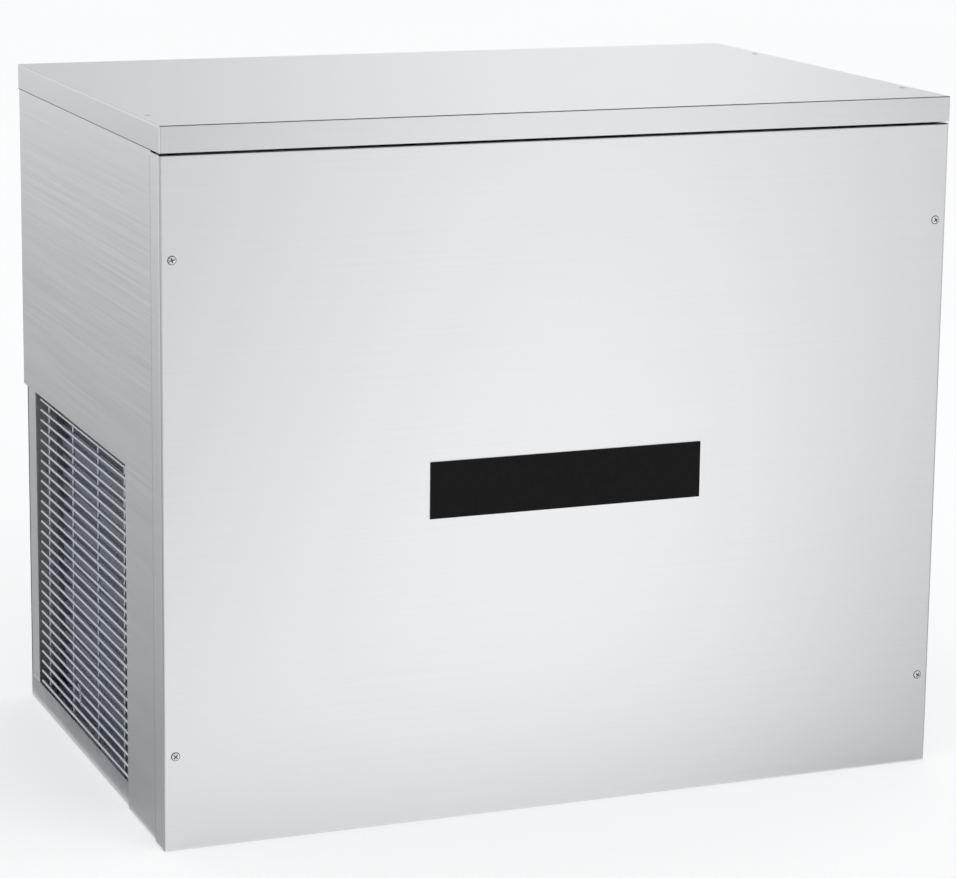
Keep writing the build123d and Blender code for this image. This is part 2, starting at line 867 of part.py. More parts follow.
def discharge_stub():
    """Where the discharge line leaves the crown of the compressor."""
    return Vector(compressor_x - discharge_offset, compressor_y + discharge_offset, compressor_z1)


def make_suction_line():
    """From the evaporator's upper end, through the partition, to the compressor's side."""
    start = evaporator_left - coil_tail
    z_end = compressor_z0 + compressor_shoulder + compressor_wall_height * 0.8
    points = [(start, evaporator_y, coil_last_z),
              (run_x, evaporator_y, coil_last_z),
              (run_x, compressor_y, z_end),
              (compressor_x + compressor_radius, compressor_y, z_end)]
    return line_tube(suction_radius, points, line_cut)


def make_filter_drier():
    """The drier: a can with a narrower neck at each end, lying behind the fan."""
    x0 = drier_left
    x1 = drier_left + drier_length
    can = rod(drier_radius, (x0 + drier_neck, header_back, drier_z),
              (x1 - drier_neck, header_back, drier_z))
    return can + rod(liquid_radius + 2, (x0, header_back, drier_z), (x1, header_back, drier_z))


def make_liquid_line():
    """Three runs: condenser to drier, drier to expansion valve, valve to evaporator."""
    first = rod(liquid_radius, (condenser_middle_x + header_radius, header_back, drier_z),
                (drier_left, header_back, drier_z))
    valve_rear = evaporator_y + valve_block / 2
    points = [(drier_left + drier_length, header_back, drier_z),
              (valve_x, header_back, drier_z),
              (valve_x, header_back, coil_first_z),
              (valve_x, valve_rear, coil_first_z)]
    second = line_tube(liquid_radius, points, line_cut)
    third = rod(liquid_radius, (valve_x + valve_block / 2, evaporator_y, coil_first_z),
                (evaporator_left - coil_tail, evaporator_y, coil_first_z))
    return Compound([first, second, third])


def make_expansion_valve():
    """The valve block with its diaphragm head beneath."""
    half = valve_block / 2
    body = block(valve_x - half, valve_x + half, evaporator_y - half, evaporator_y + half,
                 coil_first_z - half, coil_first_z + half)
    return body + rod(diaphragm_radius, (valve_x, evaporator_y, coil_first_z - half),
                      (valve_x, evaporator_y, coil_first_z - half - diaphragm_height))


def make_hot_gas_valve():
    """The solenoid valve of the harvest circuit, with its coil on top."""
    y0 = hot_gas_valve_front
    y1 = y0 + hot_gas_valve_length
    half = liquid_radius + 2
    body = block(valve_x - half, valve_x + half, y0, y1, hot_gas_z - half, hot_gas_z + half)
    middle_y = (y0 + y1) / 2
    return body + rod(hot_gas_coil_radius, (valve_x, middle_y, hot_gas_z + half),
                      (valve_x, middle_y, hot_gas_z + half + hot_gas_coil_height))


def make_hot_gas_line():
    """Two runs: discharge line to hot gas valve, and valve to the expansion valve's outlet."""
    stub = discharge_stub()
    first = line_tube(discharge_radius,
                      [(stub.X + discharge_radius, stub.Y, hot_gas_z),
                       (valve_x, stub.Y, hot_gas_z),
                       (valve_x, hot_gas_valve_front, hot_gas_z)], line_cut)
    second = line_tube(discharge_radius,
                       [(valve_x, hot_gas_valve_front + hot_gas_valve_length, hot_gas_z),
                        (valve_x, evaporator_y, hot_gas_z),
                        (valve_x, evaporator_y, coil_first_z + valve_block / 2)], line_cut)
    return Compound([first, second])


# Electrical parts

def make_control_box():
    """An open-fronted sheet box on the partition, with a lip that carries the switch."""
    box = block(control_left, control_right, control_front, control_rear,
                control_low, control_high)
    box -= block(control_left + control_sheet, control_right - control_sheet, control_front - 1,
                 control_rear - control_sheet, control_low + control_sheet,
                 control_high - control_sheet)
    box += block(control_left, control_right, control_front, control_front + control_sheet,
                 control_low, control_low + control_lip)
    return box - rod(switch_bush_radius + 0.1, (switch_x, control_front - 1, switch_z),
                     (switch_x, control_front + control_sheet + 1, switch_z))


def make_control_board():
    """The circuit board on four standoffs, with a transformer and two relays on it."""
    y = control_rear - control_sheet - board_standoff
    x0 = control_left + board_margin
    x1 = control_right - board_margin
    z0 = control_low + control_lip + board_margin
    z1 = control_high - board_margin
    board = block(x0, x1, y - board_sheet, y, z0, z1)
    half = board_foot / 2
    for x in (x0 + board_foot, x1 - board_foot):
        for z in (z0 + board_foot, z1 - board_foot):
            board += block(x - half, x + half, y, y + board_standoff, z - half, z + half)
    face = y - board_sheet
    low = z0 + board_part_z
    board += block(x0 + transformer_x, x0 + transformer_x + transformer_width,
                   face - transformer_depth, face, low, low + transformer_height)
    for number in range(relay_count):
        x = x0 + relay_x + number * relay_pitch
        board += block(x, x + relay_width, face - relay_depth, face, low, low + relay_height)
    return board


def make_mode_switch_body():
    """The toggle switch: its case behind the lip and its hollow bush through it."""
    back = control_front + control_sheet
    body = block(switch_x - switch_body_width / 2, switch_x + switch_body_width / 2,
                 back, back + switch_body_depth, switch_z - switch_body_height / 2,
                 switch_z + switch_body_height / 2)
    mouth = control_front - switch_bush_length
    body += rod(switch_bush_radius, (switch_x, mouth, switch_z), (switch_x, back, switch_z))
    socket_end = lever_pivot_y + lever_pin_radius + lever_seat_gap
    return body - rod(switch_socket_radius, (switch_x, mouth - 1, switch_z),
                      (switch_x, socket_end, switch_z))


def make_mode_switch_lever():
    """The toggle's lever, with the cross pin that it tilts on."""
    tip = lever_pivot_y - lever_length
    half = lever_pin_length / 2
    lever = rod(lever_pin_radius, (switch_x - half, lever_pivot_y, switch_z),
                (switch_x + half, lever_pivot_y, switch_z))
    return lever + rod(lever_radius, (switch_x, lever_pivot_y, switch_z),
                       (switch_x, tip, switch_z))


def make_cable_grommet():
    """A closed membrane grommet in the rear panel, where the supply cable enters."""
    wide = cable_hole_radius + cable_flange
    grommet = rod(cable_hole_radius, (cable_x, base_rear - cable_neck, cable_z),
                  (cable_x, rear_outer, cable_z))
    return grommet + rod(wide, (cable_x, base_rear - cable_flange_thickness, cable_z),
                         (cable_x, base_rear, cable_z))


# Water side

def make_water_inlet_valve():
    """The inlet valve on the rear panel: its bored boss at the rear, its coil on top."""
    half = inlet_body / 2
    y0 = inlet_y - half
    y1 = inlet_y + half
    end = side_rear + rear_reach
    valve = block(inlet_x - half, inlet_x + half, y0, y1, inlet_z - half, inlet_z + half)
    valve += rod(inlet_boss_radius, (inlet_x, y1, inlet_z), (inlet_x, end, inlet_z))
    plate_half = half + inlet_plate_wing
    valve += block(inlet_x - plate_half, inlet_x + plate_half, y1, y1 + inlet_plate,
                   inlet_z - half, inlet_z + half)
    coil_half = inlet_coil_width / 2
    valve += block(inlet_x - coil_half, inlet_x + coil_half, inlet_y - coil_half,
                   inlet_y + coil_half, inlet_z + half, inlet_z + half + inlet_coil_height)
    return valve - rod(inlet_bore_radius, (inlet_x, end - inlet_bore_depth, inlet_z),
                       (inlet_x, end + 1, inlet_z))


def make_fill_hose():
    """From the inlet valve through the partition, down behind the evaporator."""
    points = [(inlet_x + inlet_body / 2, fill_y, inlet_z),
              (fill_drop_x, fill_y, inlet_z),
              (fill_drop_x, fill_y, fill_end_z)]
    return line_tube(fill_radius, points, fill_cut)


def wall_holes():
    """The (y, z, radius) of each line that crosses the partition and the chamber's wall."""
    return [(evaporator_y, coil_last_z, suction_radius),
            (evaporator_y, coil_first_z, liquid_radius),
            (fill_y, inlet_z, fill_radius)]


def make_partition_wall():
    """The sheet between the machine side and the ice side."""
    x0 = chamber_left - partition_sheet
    wall = block(x0, chamber_left, chamber_front, chamber_rear, frame_sheet,
                 chamber_height + chamber_lid)
    for y, z, radius in wall_holes():
        half = radius + line_hole_clearance
        wall -= block(x0 - 1, chamber_left + 1, y - half, y + half, z - half, z + half)
    return wall


def make_chamber_liner():
    """The insulated tub of the ice side: floor and three walls, open in front and on top."""
    liner = block(chamber_left, chamber_right, inner_front, chamber_rear,
                  frame_sheet, chamber_height)
    liner -= block(inner_left, inner_right, inner_front - 1, inner_rear, floor_top,
                   chamber_height + 1)
    collar = frame_sheet + panel_fit
    liner -= block(opening_x0 - collar, opening_x1 + collar, opening_y0 - collar,
                   opening_y1 + collar, 0, floor_top + 1)
    for y, z, radius in wall_holes():
        half = radius + line_hole_clearance
        liner -= block(chamber_left - 1, inner_left + 1, y - half, y + half, z - half, z + half)
    return liner - rod(drain_radius + line_hole_clearance, (drain_x, inner_rear - 1, drain_height),
                       (drain_x, chamber_rear + 1, drain_height))


def make_chamber_front_cover():
    """The insulated cover over the open front of the chamber, with a finger recess."""
    cover = block(chamber_left, chamber_right, chamber_front, inner_front,
                  frame_sheet, chamber_height)
    middle = (chamber_left + chamber_right) / 2
    high = chamber_height - recess_top
    return cover - block(middle - recess_width / 2, middle + recess_width / 2,
                         chamber_front - 1, chamber_front + recess_depth,
                         high - recess_height, high)


def make_chamber_top_cover():
    """The insulated lid of the chamber."""
    return block(chamber_left, chamber_right, chamber_front, chamber_rear,
                 chamber_height, chamber_height + chamber_lid)


def evaporator_plate(face_y, outward):
    """One plate: a sheet with upright ribs that part the columns of ice."""
    x0 = evaporator_left
    pitch = (evaporator_right - x0 - rib_thickness) / (rib_count - 1)
    front = face_y + outward * evaporator_sheet
    tip = front + outward * rib_depth
    outline = [(x0, face_y)]
    for number in range(rib_count):
        rib_x = x0 + number * pitch
        if number > 0:
            outline.append((rib_x, front))
        outline.append((rib_x, tip))
        outline.append((rib_x + rib_thickness, tip))
        if number < rib_count - 1:
            outline.append((rib_x + rib_thickness, front))
    outline.append((evaporator_right, face_y))
    return prism_along_z(outline, evaporator_bottom, evaporator_top)


def make_evaporator_plates():
    """The front and rear plates, one on each face of the coil."""
    return Compound([evaporator_plate(evaporator_y - coil_depth / 2, -1),
                     evaporator_plate(evaporator_y + coil_depth / 2, 1)])


def make_evaporator_coil():
    """The flattened serpentine between the plates, with both tails to the left."""
    turn = coil_pitch / 2
    left = evaporator_left + coil_height / 2
    right = evaporator_right - coil_height / 2
    tail = evaporator_left - coil_tail
    points = [(tail, evaporator_y, coil_first_z)]
    for number in range(coil_passes - 1):
        x = right if number % 2 == 0 else left
        points.append((x, evaporator_y, coil_first_z + number * coil_pitch))
        points.append((x, evaporator_y, coil_first_z + (number + 1) * coil_pitch))
    points.append((tail, evaporator_y, coil_last_z))
    path = FilletPolyline(*points, radius=turn - 0.5)
    section = Plane(origin=path @ 0, x_dir=(0, 1, 0), z_dir=path % 0)
    return sweep(section * Rectangle(coil_depth, coil_height), path=path)


def make_evaporator_brackets():
    """The two side plates that hang the evaporator and the distributor on the rear wall."""
    y0 = evaporator_y - coil_depth / 2 - rib_depth - bracket_front_margin
    z0 = evaporator_bottom
    z1 = distributor_z + distributor_height
    brackets = []
    for x in (evaporator_left - bracket_sheet, evaporator_right):
        bracket = block(x, x + bracket_sheet, y0, inner_rear, z0, z1)
        window_y = evaporator_y + coil_depth / 2 + rib_depth + window_front_gap
        bracket -= block(x - 1, x + bracket_sheet + 1, window_y, inner_rear - window_rear_strip,
                         z0 + window_low_strip, z1 - window_high_strip)
        if x < evaporator_left:
            slot_y = coil_depth / 2 + bracket_slot_fit
            slot_z = coil_height / 2 + bracket_slot_fit
            for z in (coil_first_z, coil_last_z):
                bracket -= block(x - 1, x + bracket_sheet + 1, evaporator_y - slot_y,
                                 evaporator_y + slot_y, z - slot_z, z + slot_z)
            bracket -= rod(nipple_radius + 0.2, (x - 1, nipple_y, nipple_z),
                           (x + bracket_sheet + 1, nipple_y, nipple_z))
        brackets.append(bracket)
    return Compound(brackets)


def make_water_distributor():
    """The hollow bar over the evaporator, with a slit above each plate and a hose nipple."""
    half = distributor_depth / 2
    z1 = distributor_z + distributor_height
    wall = distributor_wall
    bar = block(evaporator_left, evaporator_right, evaporator_y - half, evaporator_y + half,
                distributor_z, z1)
    bar -= block(evaporator_left + wall, evaporator_right - wall, evaporator_y - half + wall,
                 evaporator_y + half - wall, distributor_z + wall, z1 - wall)
    reach = coil_depth / 2 + rib_depth / 2
    for side in (-1, 1):
        y = evaporator_y + side * reach
        bar -= block(evaporator_left + 8, evaporator_right - 8, y - 0.8, y + 0.8,
                     distributor_z - 1, distributor_z + wall + 1)
    nipple = rod(nipple_radius, (evaporator_left - nipple_length, nipple_y, nipple_z),
                 (evaporator_left, nipple_y, nipple_z))
    bore = rod(nipple_radius - wall, (evaporator_left - nipple_length - 1, nipple_y, nipple_z),
               (evaporator_left + wall + 1, nipple_y, nipple_z))
    return bar + nipple - bore


def guide_height(y):
    """The height of the cube guide's underside at a depth y."""
    share = (y - tank_front) / (tank_rear - tank_front)
    return guide_front_height + share * (guide_rear_height - guide_front_height)


def make_cube_guide():
    """The sloping slotted plate: ice slides forward on it and water drains through."""
    y0 = tank_front - guide_overhang
    y1 = tank_rear
    outline = [(y0, guide_height(y0)), (y1, guide_height(y1)),
               (y1, guide_height(y1) + guide_thickness), (y0, guide_height(y0) + guide_thickness)]
    guide = prism_along_x(outline, tank_divider, tank_right)
    slots = []
    pitch = (evaporator_right - evaporator_left) / guide_slots
    slot_y0 = evaporator_y - guide_slot_length / 2
    for number in range(guide_slots):
        x = evaporator_left + pitch * (number + 0.5)
        slots.append(block(x - guide_slot_width / 2, x + guide_slot_width / 2, slot_y0,
                           slot_y0 + guide_slot_length, guide_height(slot_y0) - 20,
                           guide_rear_height + 20))
    return guide - slots


def tank_tub(inset, x0, x1, z0):
    """A block under the slope of the cube guide, drawn in by the inset."""
    y0 = tank_front + inset
    y1 = tank_rear - inset
    lift = 50.0 if inset else 0.0
    outline = [(y0, z0), (y1, z0), (y1, guide_height(y1) + lift), (y0, guide_height(y0) + lift)]
    return prism_along_x(outline, x0, x1)


def make_water_tank():
    """The tank: a main tub with a sloping rim, a pump well on its left, and a drain port."""
    wall = tank_wall
    well_left = tank_divider - well_width
    inside_z = floor_top + wall
    tank = tank_tub(0, tank_divider, tank_right, floor_top)
    tank += block(well_left, tank_divider + wall, well_front, tank_rear, floor_top, well_height)
    tank -= tank_tub(wall, tank_divider + wall, tank_right - wall, inside_z)
    tank -= block(well_left + wall, tank_divider, well_front + wall, tank_rear - wall,
                  inside_z, well_height + 1)
    tank -= block(tank_divider - 1, tank_divider + wall + 1, well_front + divider_strip,
                  tank_rear - divider_strip, inside_z, inside_z + divider_window)
    return tank - rod(drain_port_radius, (drain_x, tank_rear - wall - 1, drain_height),
                      (drain_x, tank_rear + 1, drain_height))


def make_drain_fitting():
    """The drain pipe from the tank's rear wall to the rear of the machine."""
    end = side_rear + rear_reach
    pipe = rod(drain_radius, (drain_x, tank_rear, drain_height), (drain_x, end, drain_height))
    return pipe - rod(drain_radius - drain_wall, (drain_x, tank_rear - 1, drain_height),
                      (drain_x, end + 1, drain_height))


def make_pump_motor():
    """The pump's motor, which stands on the pump's plate over the well."""
    z0 = well_height + pump_plate
    z1 = z0 + pump_motor_height
    motor = rod(pump_motor_radius, (pump_x, pump_y, z0), (pump_x, pump_y, z1))
    return motor - rod(shaft_radius + shaft_clearance, (pump_x, pump_y, z0 - 1),
                       (pump_x, pump_y, z0 + shaft_depth + 1))


def make_pump_housing():
    """The plate on the well's rim, the shaft tube under it, and the volute at the bottom."""
    top = well_height + pump_plate
    housing = block(tank_divider - well_width - pump_plate_overhang, tank_divider - 1,
                    pump_y - volute_radius - pump_plate_front, tank_rear + pump_plate_overhang,
                    well_height, top)
    housing += rod(pump_tube_radius, (pump_x, pump_y, volute_bottom), (pump_x, pump_y, top))
    housing += rod(volute_radius, (pump_x, pump_y, volute_bottom),
                   (pump_x, pump_y, volute_bottom + volute_height))
    outlet_z = volute_bottom + volute_height / 2
    housing += rod(nipple_radius, (pump_outlet_x, pump_y, outlet_z),
                   (pump_outlet_x, pump_y - volute_radius - pump_outlet_length, outlet_z))
    housing -= rod(volute_radius - volute_wall, (pump_x, pump_y, volute_bottom + volute_wall),
                   (pump_x, pump_y, volute_bottom + volute_height - volute_wall))
    housing -= rod(pump_tube_radius, (pump_x, pump_y, volute_bottom - 1),
                   (pump_x, pump_y, volute_bottom + volute_wall + 1))
    return housing - rod(pump_tube_radius - pump_tube_wall, (pump_x, pump_y, volute_bottom + 1),
                         (pump_x, pump_y, top + 1))


def make_pump_rotor():
    """The pump's shaft with its impeller: a disc with four straight vanes below it."""
    top = well_height + pump_plate + shaft_depth
    cavity_low = volute_bottom + volute_wall
    cavity_high = volute_bottom + volute_height - volute_wall
    disc_z1 = cavity_high - impeller_clearance
    disc_z0 = disc_z1 - impeller_disc
    vane_z0 = cavity_low + impeller_clearance
    rotor = rod(shaft_radius, (pump_x, pump_y, vane_z0), (pump_x, pump_y, top))
    rotor += rod(impeller_radius, (pump_x, pump_y, disc_z0), (pump_x, pump_y, disc_z1))
    reach = impeller_radius - 1
    rotor += block(pump_x - reach, pump_x + reach, pump_y - 1, pump_y + 1, vane_z0, disc_z0)
    rotor += block(pump_x - 1, pump_x + 1, pump_y - reach, pump_y + reach, vane_z0, disc_z0)
    return rotor


def make_pump_hose():
    """From the volute's outlet up to the distributor's nipple."""
    outlet_y = pump_y - volute_radius - pump_outlet_length
    outlet_z = volute_bottom + volute_height / 2
    points = [(pump_outlet_x, outlet_y, outlet_z),
              (pump_outlet_x, nipple_y, outlet_z),
              (pump_outlet_x, nipple_y, nipple_z),
              (evaporator_left - nipple_length, nipple_y, nipple_z)]
    return line_tube(hose_radius, points, hose_cut)


def make_float_stem():
    """The float switch's stem under its plate on the well's rim, with a stop at each end."""
    plate = block(float_x - float_plate_side, tank_divider, well_front,
                  float_y + float_plate_rear, well_height, well_height + float_plate)
    high = float_low + float_height + float_travel
    low = float_low - float_stop_height
    stem = rod(float_stem_radius, (float_x, float_y, low), (float_x, float_y, well_height))
    lower = rod(float_stop_radius, (float_x, float_y, low), (float_x, float_y, float_low))
    upper = rod(float_stop_radius, (float_x, float_y, high),
                (float_x, float_y, high + float_stop_height))
    return plate + stem + lower + upper


def make_float():
    """The float: a ring that slides on the stem, shown resting on the lower stop."""
    high = float_low + float_height
    ring = rod(float_radius, (float_x, float_y, float_low), (float_x, float_y, high))
    return ring - rod(float_stem_radius + shaft_clearance, (float_x, float_y, float_low - 1),
                      (float_x, float_y, high + 1))


def make_bin_switch():
    """The bin control's switch case on the chamber's left wall, bored for the paddle's rod."""
    half = bin_switch_size / 2
    case = block(inner_left, inner_left + bin_switch_size, paddle_y - half, paddle_y + half,
                 paddle_pivot_z - half, paddle_pivot_z + half)
    right = inner_left + bin_switch_size
    return case - rod(paddle_rod_radius + shaft_clearance,
                      (inner_left + bin_switch_wall, paddle_y, paddle_pivot_z),
                      (right + 1, paddle_y, paddle_pivot_z))


def make_bin_paddle():
    """The paddle that hangs over the ice opening, with its rod into the switch case."""
    rod_end = inner_left + bin_switch_size + paddle_reach
    paddle = rod(paddle_rod_radius, (inner_left + bin_switch_wall + 1, paddle_y, paddle_pivot_z),
                 (rod_end, paddle_y, paddle_pivot_z))
    x0 = rod_end - paddle_width
    paddle += rod(paddle_hub, (x0, paddle_y, paddle_pivot_z), (rod_end, paddle_y, paddle_pivot_z))
    half = paddle_sheet / 2
    paddle += block(x0, rod_end, paddle_y - half, paddle_y + half,
                    paddle_pivot_z - paddle_drop, paddle_pivot_z)
    return paddle


def all_nodes():
    """Every piece of the machine by its name."""
    return {
        "base_pan": make_base_pan(),
        "front_left_post": make_post(-1, -1),
        "front_right_post": make_post(1, -1),
        "rear_left_post": make_post(-1, 1),
        "rear_right_post": make_post(1, 1),
        "top_frame": make_top_frame(),
        "side_cross_rail": make_side_cross_rail(),
        "top_cover": make_top_cover(),
        "front_panel": make_front_panel(),
        "left_side_panel": make_side_panel(-1),
        "right_side_panel": make_side_panel(1),
        "rear_panel": make_rear_panel(),
        "label_plate": make_label_plate(),
        "front_panel_screws": make_front_panel_screws(),
        "air_guard": make_air_guard(),
        "partition_wall": make_partition_wall(),
        "condenser_core": make_condenser_core(),
        "condenser_headers": make_condenser_headers(),
        "condenser_frame": make_condenser_frame(),
        "fan_shroud": make_fan_shroud(),
        "fan_motor": make_fan_motor(),
        "fan_motor_bracket": make_fan_motor_bracket(),
        "fan_blade": make_fan_blade(),
        "compressor": make_compressor(),
        "compressor_mounts": make_compressor_mounts(),
        "compressor_nuts": make_compressor_nuts(),
        "compressor_terminal_cover": make_compressor_terminal_cover(),
        "discharge_line": make_discharge_line(),
        "suction_line": make_suction_line(),
        "liquid_line": make_liquid_line(),
        "hot_gas_line": make_hot_gas_line(),
        "filter_drier": make_filter_drier(),
        "expansion_valve": make_expansion_valve(),
        "hot_gas_valve": make_hot_gas_valve(),
        "control_box": make_control_box(),
        "control_board": make_control_board(),
        "mode_switch_body": make_mode_switch_body(),
        "mode_switch_lever": make_mode_switch_lever(),
        "cable_grommet": make_cable_grommet(),
        "water_inlet_valve": make_water_inlet_valve(),
        "fill_hose": make_fill_hose(),
        "chamber_liner": make_chamber_liner(),
        "chamber_front_cover": make_chamber_front_cover(),
        "chamber_top_cover": make_chamber_top_cover(),
        "evaporator_plates": make_evaporator_plates(),
        "evaporator_coil": make_evaporator_coil(),
        "evaporator_brackets": make_evaporator_brackets(),
        "water_distributor": make_water_distributor(),
        "cube_guide": make_cube_guide(),
        "water_tank": make_water_tank(),
        "drain_fitting": make_drain_fitting(),
        "pump_motor": make_pump_motor(),
        "pump_housing": make_pump_housing(),
        "pump_rotor": make_pump_rotor(),
        "pump_hose": make_pump_hose(),
        "float_stem": make_float_stem(),
        "float": make_float(),
        "bin_switch": make_bin_switch(),
        "bin_paddle": make_bin_paddle(),
    }


os.makedirs("parts", exist_ok=True)
for name, shape in all_nodes().items():
    export_step(shape, f"parts/{name}.step")
    print(name, len(shape.solids()))
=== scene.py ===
"""Looks of the ice machine: materials for every CAD node, fasteners, trim, light and camera."""

import math
import bmesh
import bpy
from mathutils import Matrix, Vector


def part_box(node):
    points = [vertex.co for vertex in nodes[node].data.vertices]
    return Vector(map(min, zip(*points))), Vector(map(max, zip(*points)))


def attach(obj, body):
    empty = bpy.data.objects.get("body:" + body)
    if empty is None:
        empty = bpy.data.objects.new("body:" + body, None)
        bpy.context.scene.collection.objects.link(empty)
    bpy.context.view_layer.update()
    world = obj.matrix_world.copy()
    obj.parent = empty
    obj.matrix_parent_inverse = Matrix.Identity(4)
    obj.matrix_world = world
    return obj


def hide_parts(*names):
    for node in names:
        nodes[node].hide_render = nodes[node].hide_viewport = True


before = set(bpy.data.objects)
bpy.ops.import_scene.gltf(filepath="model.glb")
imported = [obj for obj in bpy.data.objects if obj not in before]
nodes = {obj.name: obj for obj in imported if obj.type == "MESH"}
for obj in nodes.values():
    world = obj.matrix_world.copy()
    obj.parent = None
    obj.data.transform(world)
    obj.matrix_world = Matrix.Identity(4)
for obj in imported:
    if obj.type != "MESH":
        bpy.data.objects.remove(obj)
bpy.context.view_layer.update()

# Camera, from a fit to the cabinet's corners in the photograph
PHOTO_WIDTH = 956.0
FOCAL_PIXELS = 3246.0
SENSOR_WIDTH = 36.0
CAMERA_PLACE = (-1.286, -3.253, 1.126)
CAMERA_YAW = math.radians(21.752)
CAMERA_PITCH = math.radians(-11.456)
CAMERA_ROLL = math.radians(-0.665)
CAMERA_SHIFT = -0.08
CAMERA_REACH = 100.0

# Texture of the surfaces: noise detail and relief depth of the grain, in metres
NOISE_SCALE = 1.0
GRAIN_DETAIL = 3.0
GRAIN_DEPTH = 0.0002

# Painted shade on the folds of the sheets: greys, and the range of the normal's largest part over
# which a fold's painted dark line fades into a flat face. The lid's side folds are lifted, so that
# only its front fold is painted dark.
FRONT_FOLD_DARK = 0.50
FRONT_FOLD_START = 0.75
LID_FOLD_DARK = 0.18
LID_FOLD_START = 0.88
LID_SIDE_LIFT = 0.30
FOLD_END = 0.98

# Painted shade on faces that point sideways, the front's returns among them: they are painted a
# little darker than faces that point forward or up
RETURN_DARK = 0.92
RETURN_START = 0.02
RETURN_END = 0.2

# Spangle of the galvanised sheets: crystals per metre, the noise that bends their borders, and
# the range of a crystal's tone
CRYSTAL_SCALE = 75.0
BEND_SCALE = 60.0
BEND_SIZE = 0.02
CRYSTAL_START = 0.1
CRYSTAL_END = 0.9
CRYSTAL_SPREAD = 0.08

# Face of the condenser: bands that draw the fins, their tones and relief, and painted light in the
# grooves: how much lighter they are painted, to offset the shadow they lie in
FIN_SCALE = 150.0
FIN_LOW = (0.17, 0.18, 0.195)
FIN_HIGH = (0.27, 0.285, 0.305)
FIN_START = 0.35
FIN_END = 0.9
FIN_RELIEF = 0.2
FIN_DEPTH = 0.001
GROOVE_PAINTED_LIGHT = 1.7
GROOVE_START = 0.0003
GROOVE_END = 0.003

# Round heads of screws and rivets: rings as shares of radius and height, and the crossed dip
HEAD_SEGMENTS = 40
HEAD_RINGS = ((1.0, 0.0), (0.99, 0.25), (0.86, 0.35), (0.82, 0.9), (0.72, 1.0))
# The lowest of the wall's bands and the cross dip take a dark steel: painted shade round the
# head's foot and in its recess
DARK_RINGS = 2
CROSS_WIDTH = 0.0011
CROSS_DEPTH = 0.0010
CROSS_FLOOR = 0.8

# Heads of the front screws, which take the place of the CAD's plain heads
CAD_HEAD_HEIGHT = 0.0014
FRONT_HEAD_RADIUS = 0.0046
FRONT_HEAD_HEIGHT = 0.0010
FRONT_HEAD_CROWN = 0.0003
FRONT_HEAD_CROSS = 0.0052
FRONT_HEAD_TWISTS = (0.80, 0.30, 1.00, 0.60)

# Small fasteners that the CAD leaves out: lid rivets and rear screws
LID_RIVET_INSET = 0.012
LID_RIVET_FROM_FRONT = 0.083
LID_RIVET_FROM_REAR = 0.125
LID_RIVET_RADIUS = 0.0034
LID_RIVET_HEIGHT = 0.0006
LID_RIVET_CROWN = 0.0
REAR_SCREW_INSET = 0.027
REAR_SCREW_HEIGHTS = (0.060, 0.360, 0.660)
REAR_SCREW_RADIUS = 0.0042
REAR_SCREW_HEIGHT = 0.0008
REAR_SCREW_CROWN = 0.0002

# Dark strips of painted shade in the joints behind the front's returns and under the lid's side
# lips, standing for the shadow lines there
SHADE_STRIP_DEPTH = 0.004
SHADE_STRIP_WIDTH = 0.0009
SHADE_STRIP_EDGE = 0.0001
SHADE_STRIP_PEAK = 0.3
SHADE_STRIP_END_GAP = 0.003
LID_SHADE_STRIP_END = 0.002

# Wire tie on the guard: its wire, its twist, its loop round a bar and its two splayed ends
GUARD_BAR_RADIUS = 0.0016
TIE_WIRE_RADIUS = 0.00055
TIE_WIRE_SIDES = 10
TIE_TWIST_RADIUS = 0.0006
TIE_TWIST_FOOT = 1.4
TIE_TURNS = 2.5
TIE_STEPS = 36
TIE_LOOP_STEPS = 16
TIE_LOOP_LAST = 12
TIE_Y = 0.057
TIE_BAR_Z = 0.0524
TIE_TOP_Z = 0.0720
TIE_FIRST_END = (-0.001, 0.0028, 0.0034)
TIE_LAST_END = (-0.001, -0.0030, 0.0022)

# White surroundings and the pale floor, which gives off some light to the camera and to
# reflections, so that its shadow is soft
SKY = (0.985, 0.99, 1.0)
FLOOR_SIZE = 60.0
FLOOR_Z = -0.0006
FLOOR_ROUGHNESS = 0.9
FLOOR_STRETCH = (0.6, 0.6, 0.6)
FLOOR_DETAIL = 2.0
FLOOR_LOW = (0.955, 0.955, 0.957)
FLOOR_HIGH = (0.97, 0.97, 0.972)
FLOOR_GLOW = 0.5
FLOOR_GLOW_COLOUR = (0.98, 0.985, 0.99)

# Grey cards round the set, seen only in reflections. The front's card fans out from the front's
# own width as its reflection does, and its stops run across the fan with a margin at each side.
# Every card but the plain grey ones has a trace more blue than red and green.
CARD_BLUE = 1.006
FRONT_Y = -0.28
HALF_WIDTH = 0.43
FAN_LEFT = 0.288
FAN_SPREAD = 0.289
FAN_MARGIN = 0.6
FAN_RANGE = 2.2
FRONT_HIGH_STOPS = ((0.0, 0.38), (0.24, 0.44), (0.36, 0.78), (0.46, 1.0), (0.56, 1.0),
                    (0.65, 0.88), (0.75, 0.47), (1.0, 0.36))
FRONT_LOW_STOPS = ((0.0, 0.72), (0.24, 0.85), (0.36, 0.96), (0.46, 0.98), (0.56, 0.93),
                   (0.65, 0.77), (0.75, 0.50), (1.0, 0.38))
FRONT_RISE_START = 0.3
FRONT_RISE_END = 2.4
FRONT_FOOT = 0.92
FRONT_FOOT_START = 0.05
FRONT_FOOT_END = 0.35
SIDE_STOPS = ((0.0, 0.50), (0.05, 0.43), (0.12, 0.39), (0.25, 0.44), (0.5, 0.56), (1.0, 0.78))
SIDE_START = 0.44
SIDE_REACH = 2.6
REAR_STOPS = ((0.0, 0.50), (0.30, 0.62), (0.45, 0.90), (0.58, 0.96), (0.70, 0.66), (1.0, 0.50))
